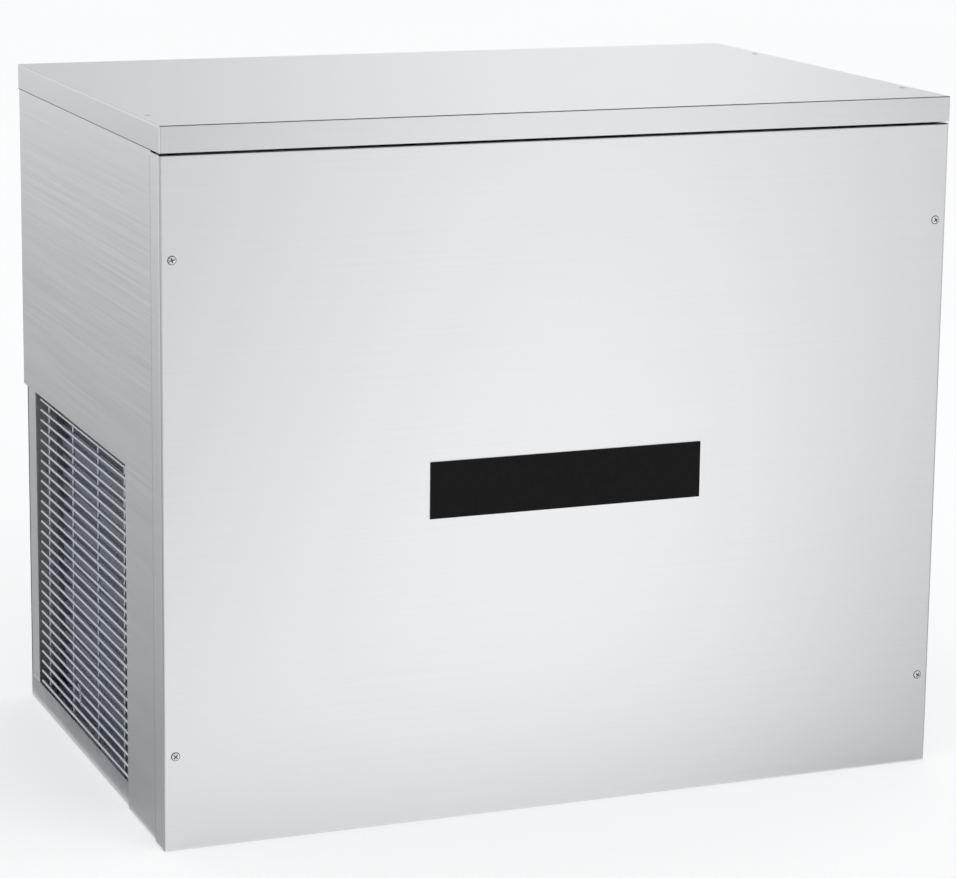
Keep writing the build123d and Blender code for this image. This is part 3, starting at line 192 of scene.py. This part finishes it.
REAR_START = 1.2
REAR_REACH = 6.0
CORNER_GREY = 0.40
CEILING_GREY = 0.55

# Key lamp
KEY_PLACE = (1.7, -3.4, 2.8)
KEY_TARGET = (0.1, -0.3, 0.3)
KEY_SIZE = 2.2
KEY_POWER = 25.0


# Material helpers; those that build parts of a look take and give node sockets

def material(name, roughness, metallic=0.0):
    """A new node material and its main shader."""
    made = bpy.data.materials.new(name)
    made.use_nodes = True
    shader = made.node_tree.nodes["Principled BSDF"]
    shader.inputs["Roughness"].default_value = roughness
    shader.inputs["Metallic"].default_value = metallic
    return made, shader


def place_of(tree, space="Object"):
    """The place on the object, in metres, or its normal."""
    return tree.nodes.new("ShaderNodeTexCoord").outputs[space]


def parts_of(tree, vector):
    """The x, y and z of a vector."""
    made = tree.nodes.new("ShaderNodeSeparateXYZ")
    tree.links.new(vector, made.inputs["Vector"])
    return made.outputs


def object_noise(tree, stretch, detail):
    """Noise over the object's own space, in metres, stretched by three scales."""
    mapping = tree.nodes.new("ShaderNodeMapping")
    mapping.inputs["Scale"].default_value = stretch
    noise = tree.nodes.new("ShaderNodeTexNoise")
    noise.inputs["Scale"].default_value = NOISE_SCALE
    noise.inputs["Detail"].default_value = detail
    tree.links.new(place_of(tree), mapping.inputs["Vector"])
    tree.links.new(mapping.outputs["Vector"], noise.inputs["Vector"])
    return noise.outputs[0]


def ramp(tree, source, low, high, start=0.3, end=0.7):
    """A colour that runs from low to high as the source rises from start to end."""
    made = tree.nodes.new("ShaderNodeValToRGB")
    first, last = made.color_ramp.elements
    first.position = start
    last.position = end
    first.color = (*low, 1.0)
    last.color = (*high, 1.0)
    tree.links.new(source, made.inputs["Fac"])
    return made.outputs["Color"]


def span(tree, source, low, high, start=0.3, end=0.7):
    """A number that runs from low to high as the source rises from start to end."""
    made = tree.nodes.new("ShaderNodeMapRange")
    made.inputs["From Min"].default_value = start
    made.inputs["From Max"].default_value = end
    made.inputs["To Min"].default_value = low
    made.inputs["To Max"].default_value = high
    tree.links.new(source, made.inputs["Value"])
    return made.outputs["Result"]


def worked_out(tree, operation, *terms):
    """The result of an operation on numbers and sockets."""
    made = tree.nodes.new("ShaderNodeMath")
    made.operation = operation
    for socket, term in zip(made.inputs, terms):
        if isinstance(term, float):
            socket.default_value = term
        else:
            tree.links.new(term, socket)
    return made.outputs[0]


def mixed(tree, blend, first, second, factor=None):
    """Two colours blended, by a factor or in full."""
    made = tree.nodes.new("ShaderNodeMixRGB")
    made.blend_type = blend
    if factor is None:
        made.inputs["Fac"].default_value = 1.0
    else:
        tree.links.new(factor, made.inputs["Fac"])
    tree.links.new(first, made.inputs["Color1"])
    tree.links.new(second, made.inputs["Color2"])
    return made.outputs["Color"]


def bump(tree, shader, source, strength, distance):
    """Relief on the surface from the source."""
    made = tree.nodes.new("ShaderNodeBump")
    made.inputs["Strength"].default_value = strength
    made.inputs["Distance"].default_value = distance
    tree.links.new(source, made.inputs["Height"])
    tree.links.new(made.outputs["Normal"], shader.inputs["Normal"])


def grained(name, low, high, stretch, roughness, metallic, spread=0.06, relief=0.05):
    """A surface whose colour, roughness and fine relief follow one stretched noise."""
    made, shader = material(name, roughness, metallic)
    tree = made.node_tree
    noise = object_noise(tree, stretch, GRAIN_DETAIL)
    rough = span(tree, noise, roughness - spread, roughness + spread)
    tree.links.new(ramp(tree, noise, low, high), shader.inputs["Base Color"])
    tree.links.new(rough, shader.inputs["Roughness"])
    bump(tree, shader, noise, relief, GRAIN_DEPTH)
    return made


def shaded(made, source, dark, start, end):
    """Multiplies the base colour by a grey, from dark up to white as the source rises."""
    tree = made.node_tree
    base = tree.nodes["Principled BSDF"].inputs["Base Color"]
    shade = ramp(tree, source, (dark, dark, dark), (1.0, 1.0, 1.0), start, end)
    tree.links.new(mixed(tree, "MULTIPLY", base.links[0].from_socket, shade), base)


def painted_fold_shade(made, dark, start, side_lift=0.0):
    """Paints shade on the rounded folds and on faces that point sideways, darkening the colour by
    the normal alone.
    """
    tree = made.node_tree
    size = tree.nodes.new("ShaderNodeVectorMath")
    size.operation = "ABSOLUTE"
    tree.links.new(place_of(tree, "Normal"), size.inputs[0])
    x, y, z = parts_of(tree, size.outputs["Vector"])
    flat = worked_out(tree, "MAXIMUM", worked_out(tree, "MAXIMUM", x, y), z)
    flat = worked_out(tree, "MULTIPLY_ADD", x, side_lift, flat)
    shaded(made, flat, dark, start, FOLD_END)
    shaded(made, worked_out(tree, "SUBTRACT", 1.0, x), RETURN_DARK, RETURN_START, RETURN_END)
    return made


def spangled(name, low, high, roughness):
    """Galvanised sheet: crystals a centimetre or two across, each with its own tone."""
    made, shader = material(name, roughness, 1.0)
    tree = made.node_tree
    place = place_of(tree)
    blur = tree.nodes.new("ShaderNodeTexNoise")
    blur.inputs["Scale"].default_value = BEND_SCALE
    bend = tree.nodes.new("ShaderNodeVectorMath")
    bend.operation = "MULTIPLY_ADD"
    bend.inputs[1].default_value = (BEND_SIZE, BEND_SIZE, BEND_SIZE)
    cells = tree.nodes.new("ShaderNodeTexVoronoi")
    cells.inputs["Scale"].default_value = CRYSTAL_SCALE
    grey = tree.nodes.new("ShaderNodeRGBToBW")
    tree.links.new(place, blur.inputs["Vector"])
    tree.links.new(blur.outputs["Color"], bend.inputs[0])
    tree.links.new(place, bend.inputs[2])
    tree.links.new(bend.outputs["Vector"], cells.inputs["Vector"])
    tree.links.new(cells.outputs["Color"], grey.inputs["Color"])
    tone = grey.outputs[0]
    colour = ramp(tree, tone, low, high, CRYSTAL_START, CRYSTAL_END)
    rough = span(tree, tone, roughness - CRYSTAL_SPREAD, roughness + CRYSTAL_SPREAD,
                 CRYSTAL_START, CRYSTAL_END)
    tree.links.new(colour, shader.inputs["Base Color"])
    tree.links.new(rough, shader.inputs["Roughness"])
    return made


def fins(name, roughness, metallic, face_x):
    """The condenser: close upright fins, and grooves behind face_x painted lighter, as painted
    light against their shadow.
    """
    made, shader = material(name, roughness, metallic)
    tree = made.node_tree
    place = place_of(tree)
    wave = tree.nodes.new("ShaderNodeTexWave")
    wave.wave_type = "BANDS"
    wave.bands_direction = "Y"
    wave.inputs["Scale"].default_value = FIN_SCALE
    tree.links.new(place, wave.inputs["Vector"])
    colour = ramp(tree, wave.outputs[0], FIN_LOW, FIN_HIGH, FIN_START, FIN_END)
    # Painted light: faces behind the condenser's face are painted lighter the deeper they lie, to
    # offset the shadow in the grooves
    depth = worked_out(tree, "SUBTRACT", parts_of(tree, place)["X"], face_x)
    lift = span(tree, depth, 1.0, GROOVE_PAINTED_LIGHT, GROOVE_START, GROOVE_END)
    lifted = tree.nodes.new("ShaderNodeVectorMath")
    lifted.operation = "SCALE"
    tree.links.new(colour, lifted.inputs[0])
    tree.links.new(lift, lifted.inputs["Scale"])
    tree.links.new(lifted.outputs["Vector"], shader.inputs["Base Color"])
    bump(tree, shader, wave.outputs[0], FIN_RELIEF, FIN_DEPTH)
    return made


# Materials: low and high are the ends of the colour, stretch is the grain along x, y and z

# steel_front, steel_top and steel_side are one stainless steel in three tones, the front lightest
# and the sides darkest: painted light and shade for how light falls on each face
steel_front = painted_fold_shade(
    grained("steel_front", low=(0.906, 0.908, 0.909), high=(0.932, 0.934, 0.935),
            stretch=(3.0, 3.0, 900.0), roughness=0.34, metallic=1.0, spread=0.03, relief=0.04),
    FRONT_FOLD_DARK, FRONT_FOLD_START)
steel_top = painted_fold_shade(
    grained("steel_top", low=(0.847, 0.851, 0.856), high=(0.865, 0.869, 0.874),
            stretch=(3.0, 900.0, 900.0), roughness=0.30, metallic=1.0, spread=0.02, relief=0.02),
    LID_FOLD_DARK, LID_FOLD_START, LID_SIDE_LIFT)
steel_side = grained("steel_side", low=(0.80, 0.808, 0.815), high=(0.835, 0.843, 0.85),
                     stretch=(900.0, 3.0, 900.0), roughness=0.34, metallic=1.0)
base_zinc = spangled("zinc_base", low=(0.56, 0.575, 0.595), high=(0.66, 0.675, 0.695),
                     roughness=0.38)
zinc = spangled("zinc_sheet", low=(0.40, 0.415, 0.43), high=(0.49, 0.505, 0.52), roughness=0.38)
wire = grained("zinc_wire", low=(0.50, 0.53, 0.585), high=(0.60, 0.63, 0.685),
               stretch=(90.0, 30.0, 90.0), roughness=0.34, metallic=0.85)
black_plate = grained("black_plate", low=(0.003, 0.003, 0.0035), high=(0.006, 0.006, 0.0065),
                      stretch=(400.0, 400.0, 400.0), roughness=0.5, metallic=0.0,
                      spread=0.04, relief=0.02)
black_plate.node_tree.nodes["Principled BSDF"].inputs["Specular IOR Level"].default_value = 0.12
bare_aluminium = grained("bare_aluminium", low=(0.62, 0.63, 0.64), high=(0.76, 0.77, 0.78),
                         stretch=(60.0, 300.0, 60.0), roughness=0.38, metallic=1.0)
header_paint = grained("header_paint", low=(0.44, 0.455, 0.47), high=(0.52, 0.535, 0.55),
                       stretch=(120.0, 120.0, 120.0), roughness=0.6, metallic=0.0,
                       spread=0.06, relief=0.1)
black_enamel = grained("black_enamel", low=(0.012, 0.012, 0.013), high=(0.03, 0.03, 0.032),
                       stretch=(120.0, 120.0, 120.0), roughness=0.32, metallic=0.0,
                       spread=0.05, relief=0.15)
motor_enamel = grained("motor_enamel", low=(0.09, 0.10, 0.11), high=(0.15, 0.16, 0.17),
                       stretch=(150.0, 150.0, 150.0), roughness=0.42, metallic=0.2,
                       spread=0.06, relief=0.12)
copper = grained("copper", low=(0.62, 0.30, 0.17), high=(0.80, 0.44, 0.28),
                 stretch=(60.0, 60.0, 60.0), roughness=0.30, metallic=1.0)
brass = grained("brass", low=(0.62, 0.46, 0.20), high=(0.78, 0.62, 0.32),
                stretch=(80.0, 80.0, 80.0), roughness=0.34, metallic=1.0)
tinned = grained("tinned", low=(0.70, 0.69, 0.66), high=(0.82, 0.81, 0.78),
                 stretch=(50.0, 50.0, 200.0), roughness=0.26, metallic=1.0)
rubber = grained("rubber", low=(0.012, 0.012, 0.012), high=(0.035, 0.035, 0.035),
                 stretch=(300.0, 300.0, 300.0), roughness=0.72, metallic=0.0,
                 spread=0.08, relief=0.3)
white_plastic = grained("white_plastic", low=(0.76, 0.77, 0.77), high=(0.84, 0.85, 0.85),
                        stretch=(70.0, 70.0, 70.0), roughness=0.45, metallic=0.0,
                        spread=0.05, relief=0.06)
grey_plastic = grained("grey_plastic", low=(0.10, 0.105, 0.11), high=(0.16, 0.165, 0.17),
                       stretch=(250.0, 250.0, 250.0), roughness=0.5, metallic=0.0,
                       spread=0.06, relief=0.2)
hose_plastic = grained("hose_plastic", low=(0.60, 0.64, 0.63), high=(0.74, 0.77, 0.76),
                       stretch=(90.0, 90.0, 90.0), roughness=0.25, metallic=0.0,
                       spread=0.05, relief=0.05)
board_green = grained("board_green", low=(0.015, 0.10, 0.045), high=(0.03, 0.18, 0.08),
                      stretch=(200.0, 200.0, 200.0), roughness=0.4, metallic=0.0,
                      spread=0.08, relief=0.2)
core_face_x = min(vertex.co.x for vertex in nodes["condenser_core"].data.vertices)
core_fins = fins("core_fins", roughness=0.5, metallic=0.3, face_x=core_face_x)
screw_steel = grained("screw_steel", low=(0.86, 0.87, 0.88), high=(0.93, 0.94, 0.95),
                      stretch=(500.0, 500.0, 500.0), roughness=0.30, metallic=1.0)
# Dark steel for the lower walls and cross dips of the heads: painted shade at their foot and in
# their recesses
painted_shade_steel = grained("painted_shade_steel", low=(0.05, 0.05, 0.052), high=(0.12, 0.12, 0.124),
                       stretch=(500.0, 500.0, 500.0), roughness=0.5, metallic=0.6)

dressed = {
    steel_front: ("front_panel", "front_panel_screws"),
    steel_top: ("top_cover",),
    steel_side: ("left_side_panel", "right_side_panel", "rear_left_post", "rear_right_post"),
    base_zinc: ("base_pan",),
    zinc: ("front_left_post", "front_right_post", "top_frame", "side_cross_rail", "rear_panel",
           "partition_wall", "condenser_frame", "fan_shroud", "fan_motor_bracket",
           "control_box", "compressor_nuts"),
    wire: ("air_guard",),
    black_plate: ("label_plate",),
    core_fins: ("condenser_core",),
    header_paint: ("condenser_headers",),
    bare_aluminium: ("fan_blade",),
    motor_enamel: ("fan_motor", "pump_motor"),
    black_enamel: ("compressor",),
    rubber: ("compressor_mounts", "cable_grommet"),
    copper: ("discharge_line", "suction_line", "liquid_line", "hot_gas_line",
             "filter_drier", "evaporator_coil"),
    brass: ("expansion_valve", "hot_gas_valve"),
    board_green: ("control_board",),
    grey_plastic: ("mode_switch_body", "compressor_terminal_cover", "pump_housing",
                   "bin_switch"),
    tinned: ("mode_switch_lever", "evaporator_plates", "pump_rotor"),
    hose_plastic: ("fill_hose", "pump_hose"),
    white_plastic: ("water_inlet_valve", "chamber_liner", "chamber_front_cover",
                    "chamber_top_cover", "evaporator_brackets", "water_distributor",
                    "cube_guide", "water_tank", "drain_fitting", "float_stem", "float",
                    "bin_paddle"),
}
for look, names in dressed.items():
    for name in names:
        piece = nodes[name]
        if not piece.material_slots:
            piece.data.materials.append(look)
        for slot in piece.material_slots:
            slot.material = look


# Small fasteners

def mesh_piece(name, mesh, look, body="cabinet"):
    """Adds a finished mesh as a piece that rides on a body."""
    made = bpy.data.meshes.new(name)
    mesh.to_mesh(made)
    mesh.free()
    made.materials.append(look)
    # The second slot holds the dark steel that paints shade on the heads
    made.materials.append(painted_shade_steel)
    piece = bpy.data.objects.new(name, made)
    bpy.context.scene.collection.objects.link(piece)
    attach(piece, body)
    return piece


def joined(mesh, lower, upper):
    """Faces between two closed rows of points, one face for each step round the rows."""
    faces = []
    for number in range(len(lower)):
        after = (number + 1) % len(lower)
        faces.append(mesh.faces.new((lower[number], lower[after], upper[after], upper[number])))
    return faces


def round_edges(mesh, row):
    """The edges of a closed row of points."""
    return [mesh.edges.get((row[n], row[(n + 1) % len(row)])) for n in range(len(row))]


def dome(mesh, radius, height, crown, cross, place, outward, twist=0.0):
    """A low round head on a surface: a wall, a crown, and a cross-shaped dip in the middle; the
    lower wall and the dip take the second, dark material as painted shade.
    """
    turn = Vector((0, 0, 1)).rotation_difference(outward).to_matrix().to_4x4()
    pose = Matrix.Translation(place) @ turn @ Matrix.Rotation(twist, 4, "Z")
    rows = []
    for width, rise in HEAD_RINGS:
        row = []
        for number in range(HEAD_SEGMENTS):
            angle = 2 * math.pi * number / HEAD_SEGMENTS
            point = Vector((radius * width * math.cos(angle), radius * width * math.sin(angle),
                            height * rise))
            row.append(mesh.verts.new(pose @ point))
        rows.append(row)
    for ring, (lower, upper) in enumerate(zip(rows, rows[1:])):
        for wall in joined(mesh, lower, upper):
            wall.material_index = 1 if ring < DARK_RINGS else 0
    half = CROSS_WIDTH / 2
    reach = cross / 2
    corners = ((reach, -half), (reach, half), (half, half), (half, reach), (-half, reach),
               (-half, half), (-reach, half), (-reach, -half), (-half, -half),
               (-half, -reach), (half, -reach), (half, -half))
    top = height + crown
    rim = [mesh.verts.new(pose @ Vector((x, y, top))) for x, y in corners]
    floor = [mesh.verts.new(pose @ Vector((x * CROSS_FLOOR, y * CROSS_FLOOR, top - CROSS_DEPTH)))
             for x, y in corners]
    for dip in joined(mesh, rim, floor):
        dip.material_index = 1
    mesh.faces.new(floor).material_index = 1
    edges = round_edges(mesh, rows[-1]) + round_edges(mesh, rim)
    bmesh.ops.triangle_fill(mesh, edges=edges, use_beauty=True)


screw_low, screw_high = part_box("front_panel_screws")
heads = bmesh.new()
head_twists = iter(FRONT_HEAD_TWISTS)
head_x = screw_high[0] - FRONT_HEAD_RADIUS
for x in (-head_x, head_x):
    for z in (screw_low[2] + FRONT_HEAD_RADIUS, screw_high[2] - FRONT_HEAD_RADIUS):
        dome(heads, FRONT_HEAD_RADIUS, FRONT_HEAD_HEIGHT, FRONT_HEAD_CROWN, FRONT_HEAD_CROSS,
             Vector((x, screw_low[1] + CAD_HEAD_HEIGHT, z)), Vector((0, -1, 0)),
             next(head_twists))
screws = mesh_piece("front_screw_heads", heads, screw_steel)
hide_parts("front_panel_screws")

lid_low, lid_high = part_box("top_cover")
rivets = bmesh.new()
rivet_x = lid_high[0] - LID_RIVET_INSET
rivet_front = lid_low[1] + LID_RIVET_FROM_FRONT
rivet_rear = lid_high[1] - LID_RIVET_FROM_REAR
for x, y in ((-rivet_x, rivet_front), (rivet_x, rivet_front), (rivet_x, rivet_rear)):
    dome(rivets, LID_RIVET_RADIUS, LID_RIVET_HEIGHT, LID_RIVET_CROWN, LID_RIVET_RADIUS,
         Vector((x, y, lid_high[2])), Vector((0, 0, 1)))
mesh_piece("lid_rivets", rivets, screw_steel)

rear_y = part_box("rear_panel")[1][1]
rear = bmesh.new()
rear_x = lid_high[0] - REAR_SCREW_INSET
for x in (-rear_x, rear_x):
    for z in REAR_SCREW_HEIGHTS:
        dome(rear, REAR_SCREW_RADIUS, REAR_SCREW_HEIGHT, REAR_SCREW_CROWN, REAR_SCREW_RADIUS,
             Vector((x, rear_y, z)), Vector((0, 1, 0)))
mesh_piece("rear_screw_heads", rear, screw_steel)


# Thin trim: dark strips of painted shade behind the front's returns and under the lid's lips, and
# the guard's wire tie

def closed(mesh, rows):
    """Joins rows of points one after another, and closes both ends."""
    for lower, upper in zip(rows, rows[1:]):
        joined(mesh, lower, upper)
    mesh.faces.new(rows[0])
    mesh.faces.new(rows[-1])
    bmesh.ops.recalc_face_normals(mesh, faces=mesh.faces)


def section(face, depth, edge):
    """A dark strip's section: from the face inwards by depth, and from edge onwards, rounded."""
    far = edge + SHADE_STRIP_WIDTH
    return ((face - depth, edge), (face - SHADE_STRIP_EDGE, edge), (face, edge + SHADE_STRIP_PEAK * SHADE_STRIP_WIDTH),
            (face - SHADE_STRIP_EDGE, far), (face - depth, far))


def front_shade_strip(mesh, side):
    """A dark strip of painted shade in the joint between a return of the front and its side panel.
    """
    profile = section(front_high[0], SHADE_STRIP_DEPTH, front_high[1] - SHADE_STRIP_EDGE)
    closed(mesh, [[mesh.verts.new((side * x, y, z)) for x, y in profile]
                  for z in (front_low[2] + SHADE_STRIP_END_GAP, front_high[2] - SHADE_STRIP_END_GAP)])


def lid_shade_strip(mesh, side):
    """A dark strip of painted shade under a side lip of the lid, from the lip's outer face in to
    the side panel.
    """
    profile = section(lid_high[0], lid_high[0] + panel_low[0], -lid_low[2] - SHADE_STRIP_EDGE)
    closed(mesh, [[mesh.verts.new((side * x, y, -z)) for x, z in profile]
                  for y in (panel_low[1], lid_high[1] - LID_SHADE_STRIP_END)])


def tube(mesh, points, radius):
    """A closed round wire along a line of points."""
    rows = []
    side = Vector((1, 0, 0))
    angles = [2 * math.pi * n / TIE_WIRE_SIDES for n in range(TIE_WIRE_SIDES)]
    for number, point in enumerate(points):
        ahead = points[min(number + 1, len(points) - 1)] - points[max(number - 1, 0)]
        ahead.normalize()
        side = (side - ahead * side.dot(ahead)).normalized()
        other = ahead.cross(side)
        rows.append([mesh.verts.new(point + radius * (math.cos(a) * side + math.sin(a) * other))
                     for a in angles])
    closed(mesh, rows)


def tie_points(bar_x):
    """One soft wire: a splayed end, twisted down, once round a bar, and twisted up again."""
    centre = Vector((bar_x, TIE_Y, TIE_BAR_Z))
    loop = GUARD_BAR_RADIUS + TIE_WIRE_RADIUS
    front = centre.x - loop - TIE_TWIST_RADIUS
    drop = TIE_BAR_Z + TIE_TWIST_FOOT * loop - TIE_TOP_Z
    strand = [(2 * math.pi * TIE_TURNS * part, TIE_TOP_Z + drop * part)
              for part in (step / TIE_STEPS for step in range(TIE_STEPS + 1))]
    down = [Vector((front - TIE_TWIST_RADIUS * math.cos(angle),
                    TIE_Y + TIE_TWIST_RADIUS * math.sin(angle), z)) for angle, z in strand]
    up = [Vector((front + TIE_TWIST_RADIUS * math.cos(angle),
                  TIE_Y - TIE_TWIST_RADIUS * math.sin(angle), z)) for angle, z in reversed(strand)]
    turns = (2 * math.pi * n / TIE_LOOP_STEPS for n in range(1, TIE_LOOP_LAST + 1))
    turn = [centre + Vector((loop * math.sin(angle), TIE_TWIST_RADIUS * (1 - angle / math.pi),
                             loop * math.cos(angle))) for angle in turns]
    return ([down[0] + Vector(TIE_FIRST_END)] + down + turn + up
            + [up[-1] + Vector(TIE_LAST_END)])


front_low, front_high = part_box("front_panel")
panel_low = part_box("left_side_panel")[0]
shade_strips = bmesh.new()
for side in (-1, 1):
    front_shade_strip(shade_strips, side)
    lid_shade_strip(shade_strips, side)
# These strips are black rubber: painted shade that stands for the shadow lines in the joints
mesh_piece("side_shade_strips", shade_strips, rubber)
bar_face_x = min(vertex.co.x for vertex in nodes["air_guard"].data.vertices
                 if abs(vertex.co.z - TIE_BAR_Z) < GUARD_BAR_RADIUS)
tie = bmesh.new()
tube(tie, tie_points(bar_face_x + GUARD_BAR_RADIUS), TIE_WIRE_RADIUS)
mesh_piece("guard_tie", tie, wire)


# Stage, light and camera

def make_world():
    """Even white light all round, which is also the background."""
    world = bpy.data.worlds.new("studio")
    world.use_nodes = True
    sky = world.node_tree.nodes["Background"]
    sky.inputs["Color"].default_value = (*SKY, 1.0)
    sky.inputs["Strength"].default_value = 1.0
    bpy.context.scene.world = world


def make_floor():
    """A wide pale floor, with a faint unevenness."""
    bpy.ops.mesh.primitive_plane_add(size=FLOOR_SIZE, location=(0, 0, FLOOR_Z))
    floor = bpy.context.object
    floor.name = "floor"
    made, shader = material("floor", FLOOR_ROUGHNESS)
    tree = made.node_tree
    noise = object_noise(tree, FLOOR_STRETCH, FLOOR_DETAIL)
    tree.links.new(ramp(tree, noise, FLOOR_LOW, FLOOR_HIGH), shader.inputs["Base Color"])
    shader.inputs["Specular IOR Level"].default_value = 0.0
    glow = tree.nodes.new("ShaderNodeEmission")
    glow.inputs["Color"].default_value = (*FLOOR_GLOW_COLOUR, 1.0)
    ray = tree.nodes.new("ShaderNodeLightPath").outputs
    seen = worked_out(tree, "MAXIMUM", ray["Is Camera Ray"], ray["Is Glossy Ray"])
    seen = worked_out(tree, "MAXIMUM", seen, ray["Is Transmission Ray"])
    share = worked_out(tree, "MULTIPLY", seen, FLOOR_GLOW)
    blend = tree.nodes.new("ShaderNodeMixShader")
    tree.links.new(share, blend.inputs["Fac"])
    tree.links.new(shader.outputs["BSDF"], blend.inputs[1])
    tree.links.new(glow.outputs["Emission"], blend.inputs[2])
    tree.links.new(blend.outputs["Shader"], tree.nodes["Material Output"].inputs["Surface"])
    floor.data.materials.append(made)


def grey_ramp(tree, source, stops):
    """A grey that follows stops of (place from 0 to 1, grey)."""
    made = tree.nodes.new("ShaderNodeValToRGB")
    made.color_ramp.interpolation = "B_SPLINE"
    points = made.color_ramp.elements
    while len(points) < len(stops):
        points.new(0.5)
    for point, (place, grey) in zip(points, stops):
        point.position = place
        point.color = (grey, grey, grey * CARD_BLUE, 1.0)
    tree.links.new(source, made.inputs["Fac"])
    return made.outputs["Color"]


def level(x0, x1, y0, y1, z):
    """The corners of a level rectangle."""
    return ((x0, y0, z), (x1, y0, z), (x1, y1, z), (x0, y1, z))


def upright(x0, x1, y, z0, z1):
    """The corners of an upright rectangle."""
    return ((x0, y, z0), (x1, y, z0), (x1, y, z1), (x0, y, z1))


def make_card(name, *rectangles):
    """A grey card beside the set, which only the metal's reflections see."""
    mesh = bpy.data.meshes.new(name)
    corners = [corner for rectangle in rectangles for corner in rectangle]
    mesh.from_pydata(corners, [], [tuple(range(n, n + 4)) for n in range(0, len(corners), 4)])
    card = bpy.data.objects.new(name, mesh)
    bpy.context.scene.collection.objects.link(card)
    made, shader = material(name, 1.0)
    shader.inputs["Specular IOR Level"].default_value = 0.0
    mesh.materials.append(made)
    card.visible_camera = False
    card.visible_diffuse = False
    card.visible_transmission = False
    card.visible_shadow = False
    return made.node_tree, shader.inputs["Base Color"]


def front_card(*rectangles):
    """Before the front: brightest in the middle, fanned out as the front reflects it."""
    tree, base = make_card("front_card", *rectangles)
    place = parts_of(tree, place_of(tree))
    away = worked_out(tree, "MULTIPLY_ADD", place["Y"], -1.0, FRONT_Y)
    left = worked_out(tree, "MULTIPLY_ADD", away, FAN_LEFT, -HALF_WIDTH)
    width = worked_out(tree, "MULTIPLY_ADD", away, FAN_SPREAD, 2 * HALF_WIDTH)
    across = worked_out(tree, "DIVIDE", worked_out(tree, "SUBTRACT", place["X"], left), width)
    stop = worked_out(tree, "MULTIPLY_ADD", across, 1 / FAN_RANGE, FAN_MARGIN / FAN_RANGE)
    rise = span(tree, away, 0.0, 1.0, FRONT_RISE_START, FRONT_RISE_END)
    foot = span(tree, away, FRONT_FOOT, 1.0, FRONT_FOOT_START, FRONT_FOOT_END)
    grey = mixed(tree, "MIX", grey_ramp(tree, stop, FRONT_LOW_STOPS),
                 grey_ramp(tree, stop, FRONT_HIGH_STOPS), rise)
    tree.links.new(mixed(tree, "MULTIPLY", grey, foot), base)


def side_card(name, side, rectangle):
    """On the floor beside the cabinet: darker a little way out, then lighter again."""
    tree, base = make_card(name, rectangle)
    x = parts_of(tree, place_of(tree))["X"]
    stop = worked_out(tree, "MULTIPLY_ADD", x, side / SIDE_REACH, -SIDE_START / SIDE_REACH)
    tree.links.new(grey_ramp(tree, stop, SIDE_STOPS), base)


def rear_card(rectangle):
    """Upright behind the cabinet: what the lid reflects, dimmer towards both ends."""
    tree, base = make_card("rear_card", rectangle)
    x = parts_of(tree, place_of(tree))["X"]
    stop = worked_out(tree, "MULTIPLY_ADD", x, 1 / REAR_REACH, REAR_START / REAR_REACH)
    tree.links.new(grey_ramp(tree, stop, REAR_STOPS), base)


def plain_card(name, grey, rectangle):
    """One even grey: what the folds of the sheets reflect as a thin dark line."""
    tree, base = make_card(name, rectangle)
    base.default_value = (grey, grey, grey, 1.0)


def area_lamp(name, place, target, size, power):
    """A square soft lamp aimed at a point."""
    light = bpy.data.lights.new(name, "AREA")
    light.shape = "SQUARE"
    light.size = size
    light.energy = power
    lamp = bpy.data.objects.new(name, light)
    lamp.visible_glossy = False
    lamp.location = place
    aim = Vector(target) - Vector(place)
    lamp.rotation_euler = aim.to_track_quat("-Z", "Y").to_euler()
    bpy.context.scene.collection.objects.link(lamp)


def make_camera():
    """The photograph's viewpoint."""
    forward = Vector((math.sin(CAMERA_YAW) * math.cos(CAMERA_PITCH),
                      math.cos(CAMERA_YAW) * math.cos(CAMERA_PITCH), math.sin(CAMERA_PITCH)))
    level_right = Vector((math.cos(CAMERA_YAW), -math.sin(CAMERA_YAW), 0.0))
    down = forward.cross(level_right)
    right = math.cos(CAMERA_ROLL) * level_right + math.sin(CAMERA_ROLL) * down
    up = math.sin(CAMERA_ROLL) * level_right - math.cos(CAMERA_ROLL) * down
    data = bpy.data.cameras.new("photo_camera")
    data.sensor_width = SENSOR_WIDTH
    data.lens = FOCAL_PIXELS / PHOTO_WIDTH * SENSOR_WIDTH
    data.shift_y = CAMERA_SHIFT
    data.clip_end = CAMERA_REACH
    camera = bpy.data.objects.new("photo_camera", data)
    turn = Matrix((right, up, -forward)).transposed().to_4x4()
    camera.matrix_world = Matrix.Translation(CAMERA_PLACE) @ turn
    bpy.context.scene.collection.objects.link(camera)
    bpy.context.scene.camera = camera


make_world()
make_floor()
front_card(level(x0=-2.6, x1=5.0, y0=-0.282, y1=-4.3, z=0.0004),
           upright(x0=-2.6, x1=5.0, y=-4.3, z0=0.002, z1=3.2))
side_card("left_card", -1, level(x0=-0.432, x1=-3.1, y0=-1.2, y1=6.5, z=0.0003))
side_card("right_card", 1, level(x0=0.432, x1=3.1, y0=-0.25, y1=6.5, z=0.0003))
plain_card("corner_card", CORNER_GREY, level(x0=-0.55, x1=-3.2, y0=-0.45, y1=-2.6, z=0.003))
plain_card("ceiling_card", CEILING_GREY, level(x0=-3.0, x1=3.0, y0=-3.0, y1=2.0, z=3.6))
rear_card(upright(x0=-1.2, x1=4.8, y=4.0, z0=0.3, z1=3.4))
area_lamp("key", KEY_PLACE, KEY_TARGET, KEY_SIZE, KEY_POWER)
make_camera()
bpy.context.scene.view_settings.view_transform = "Standard"
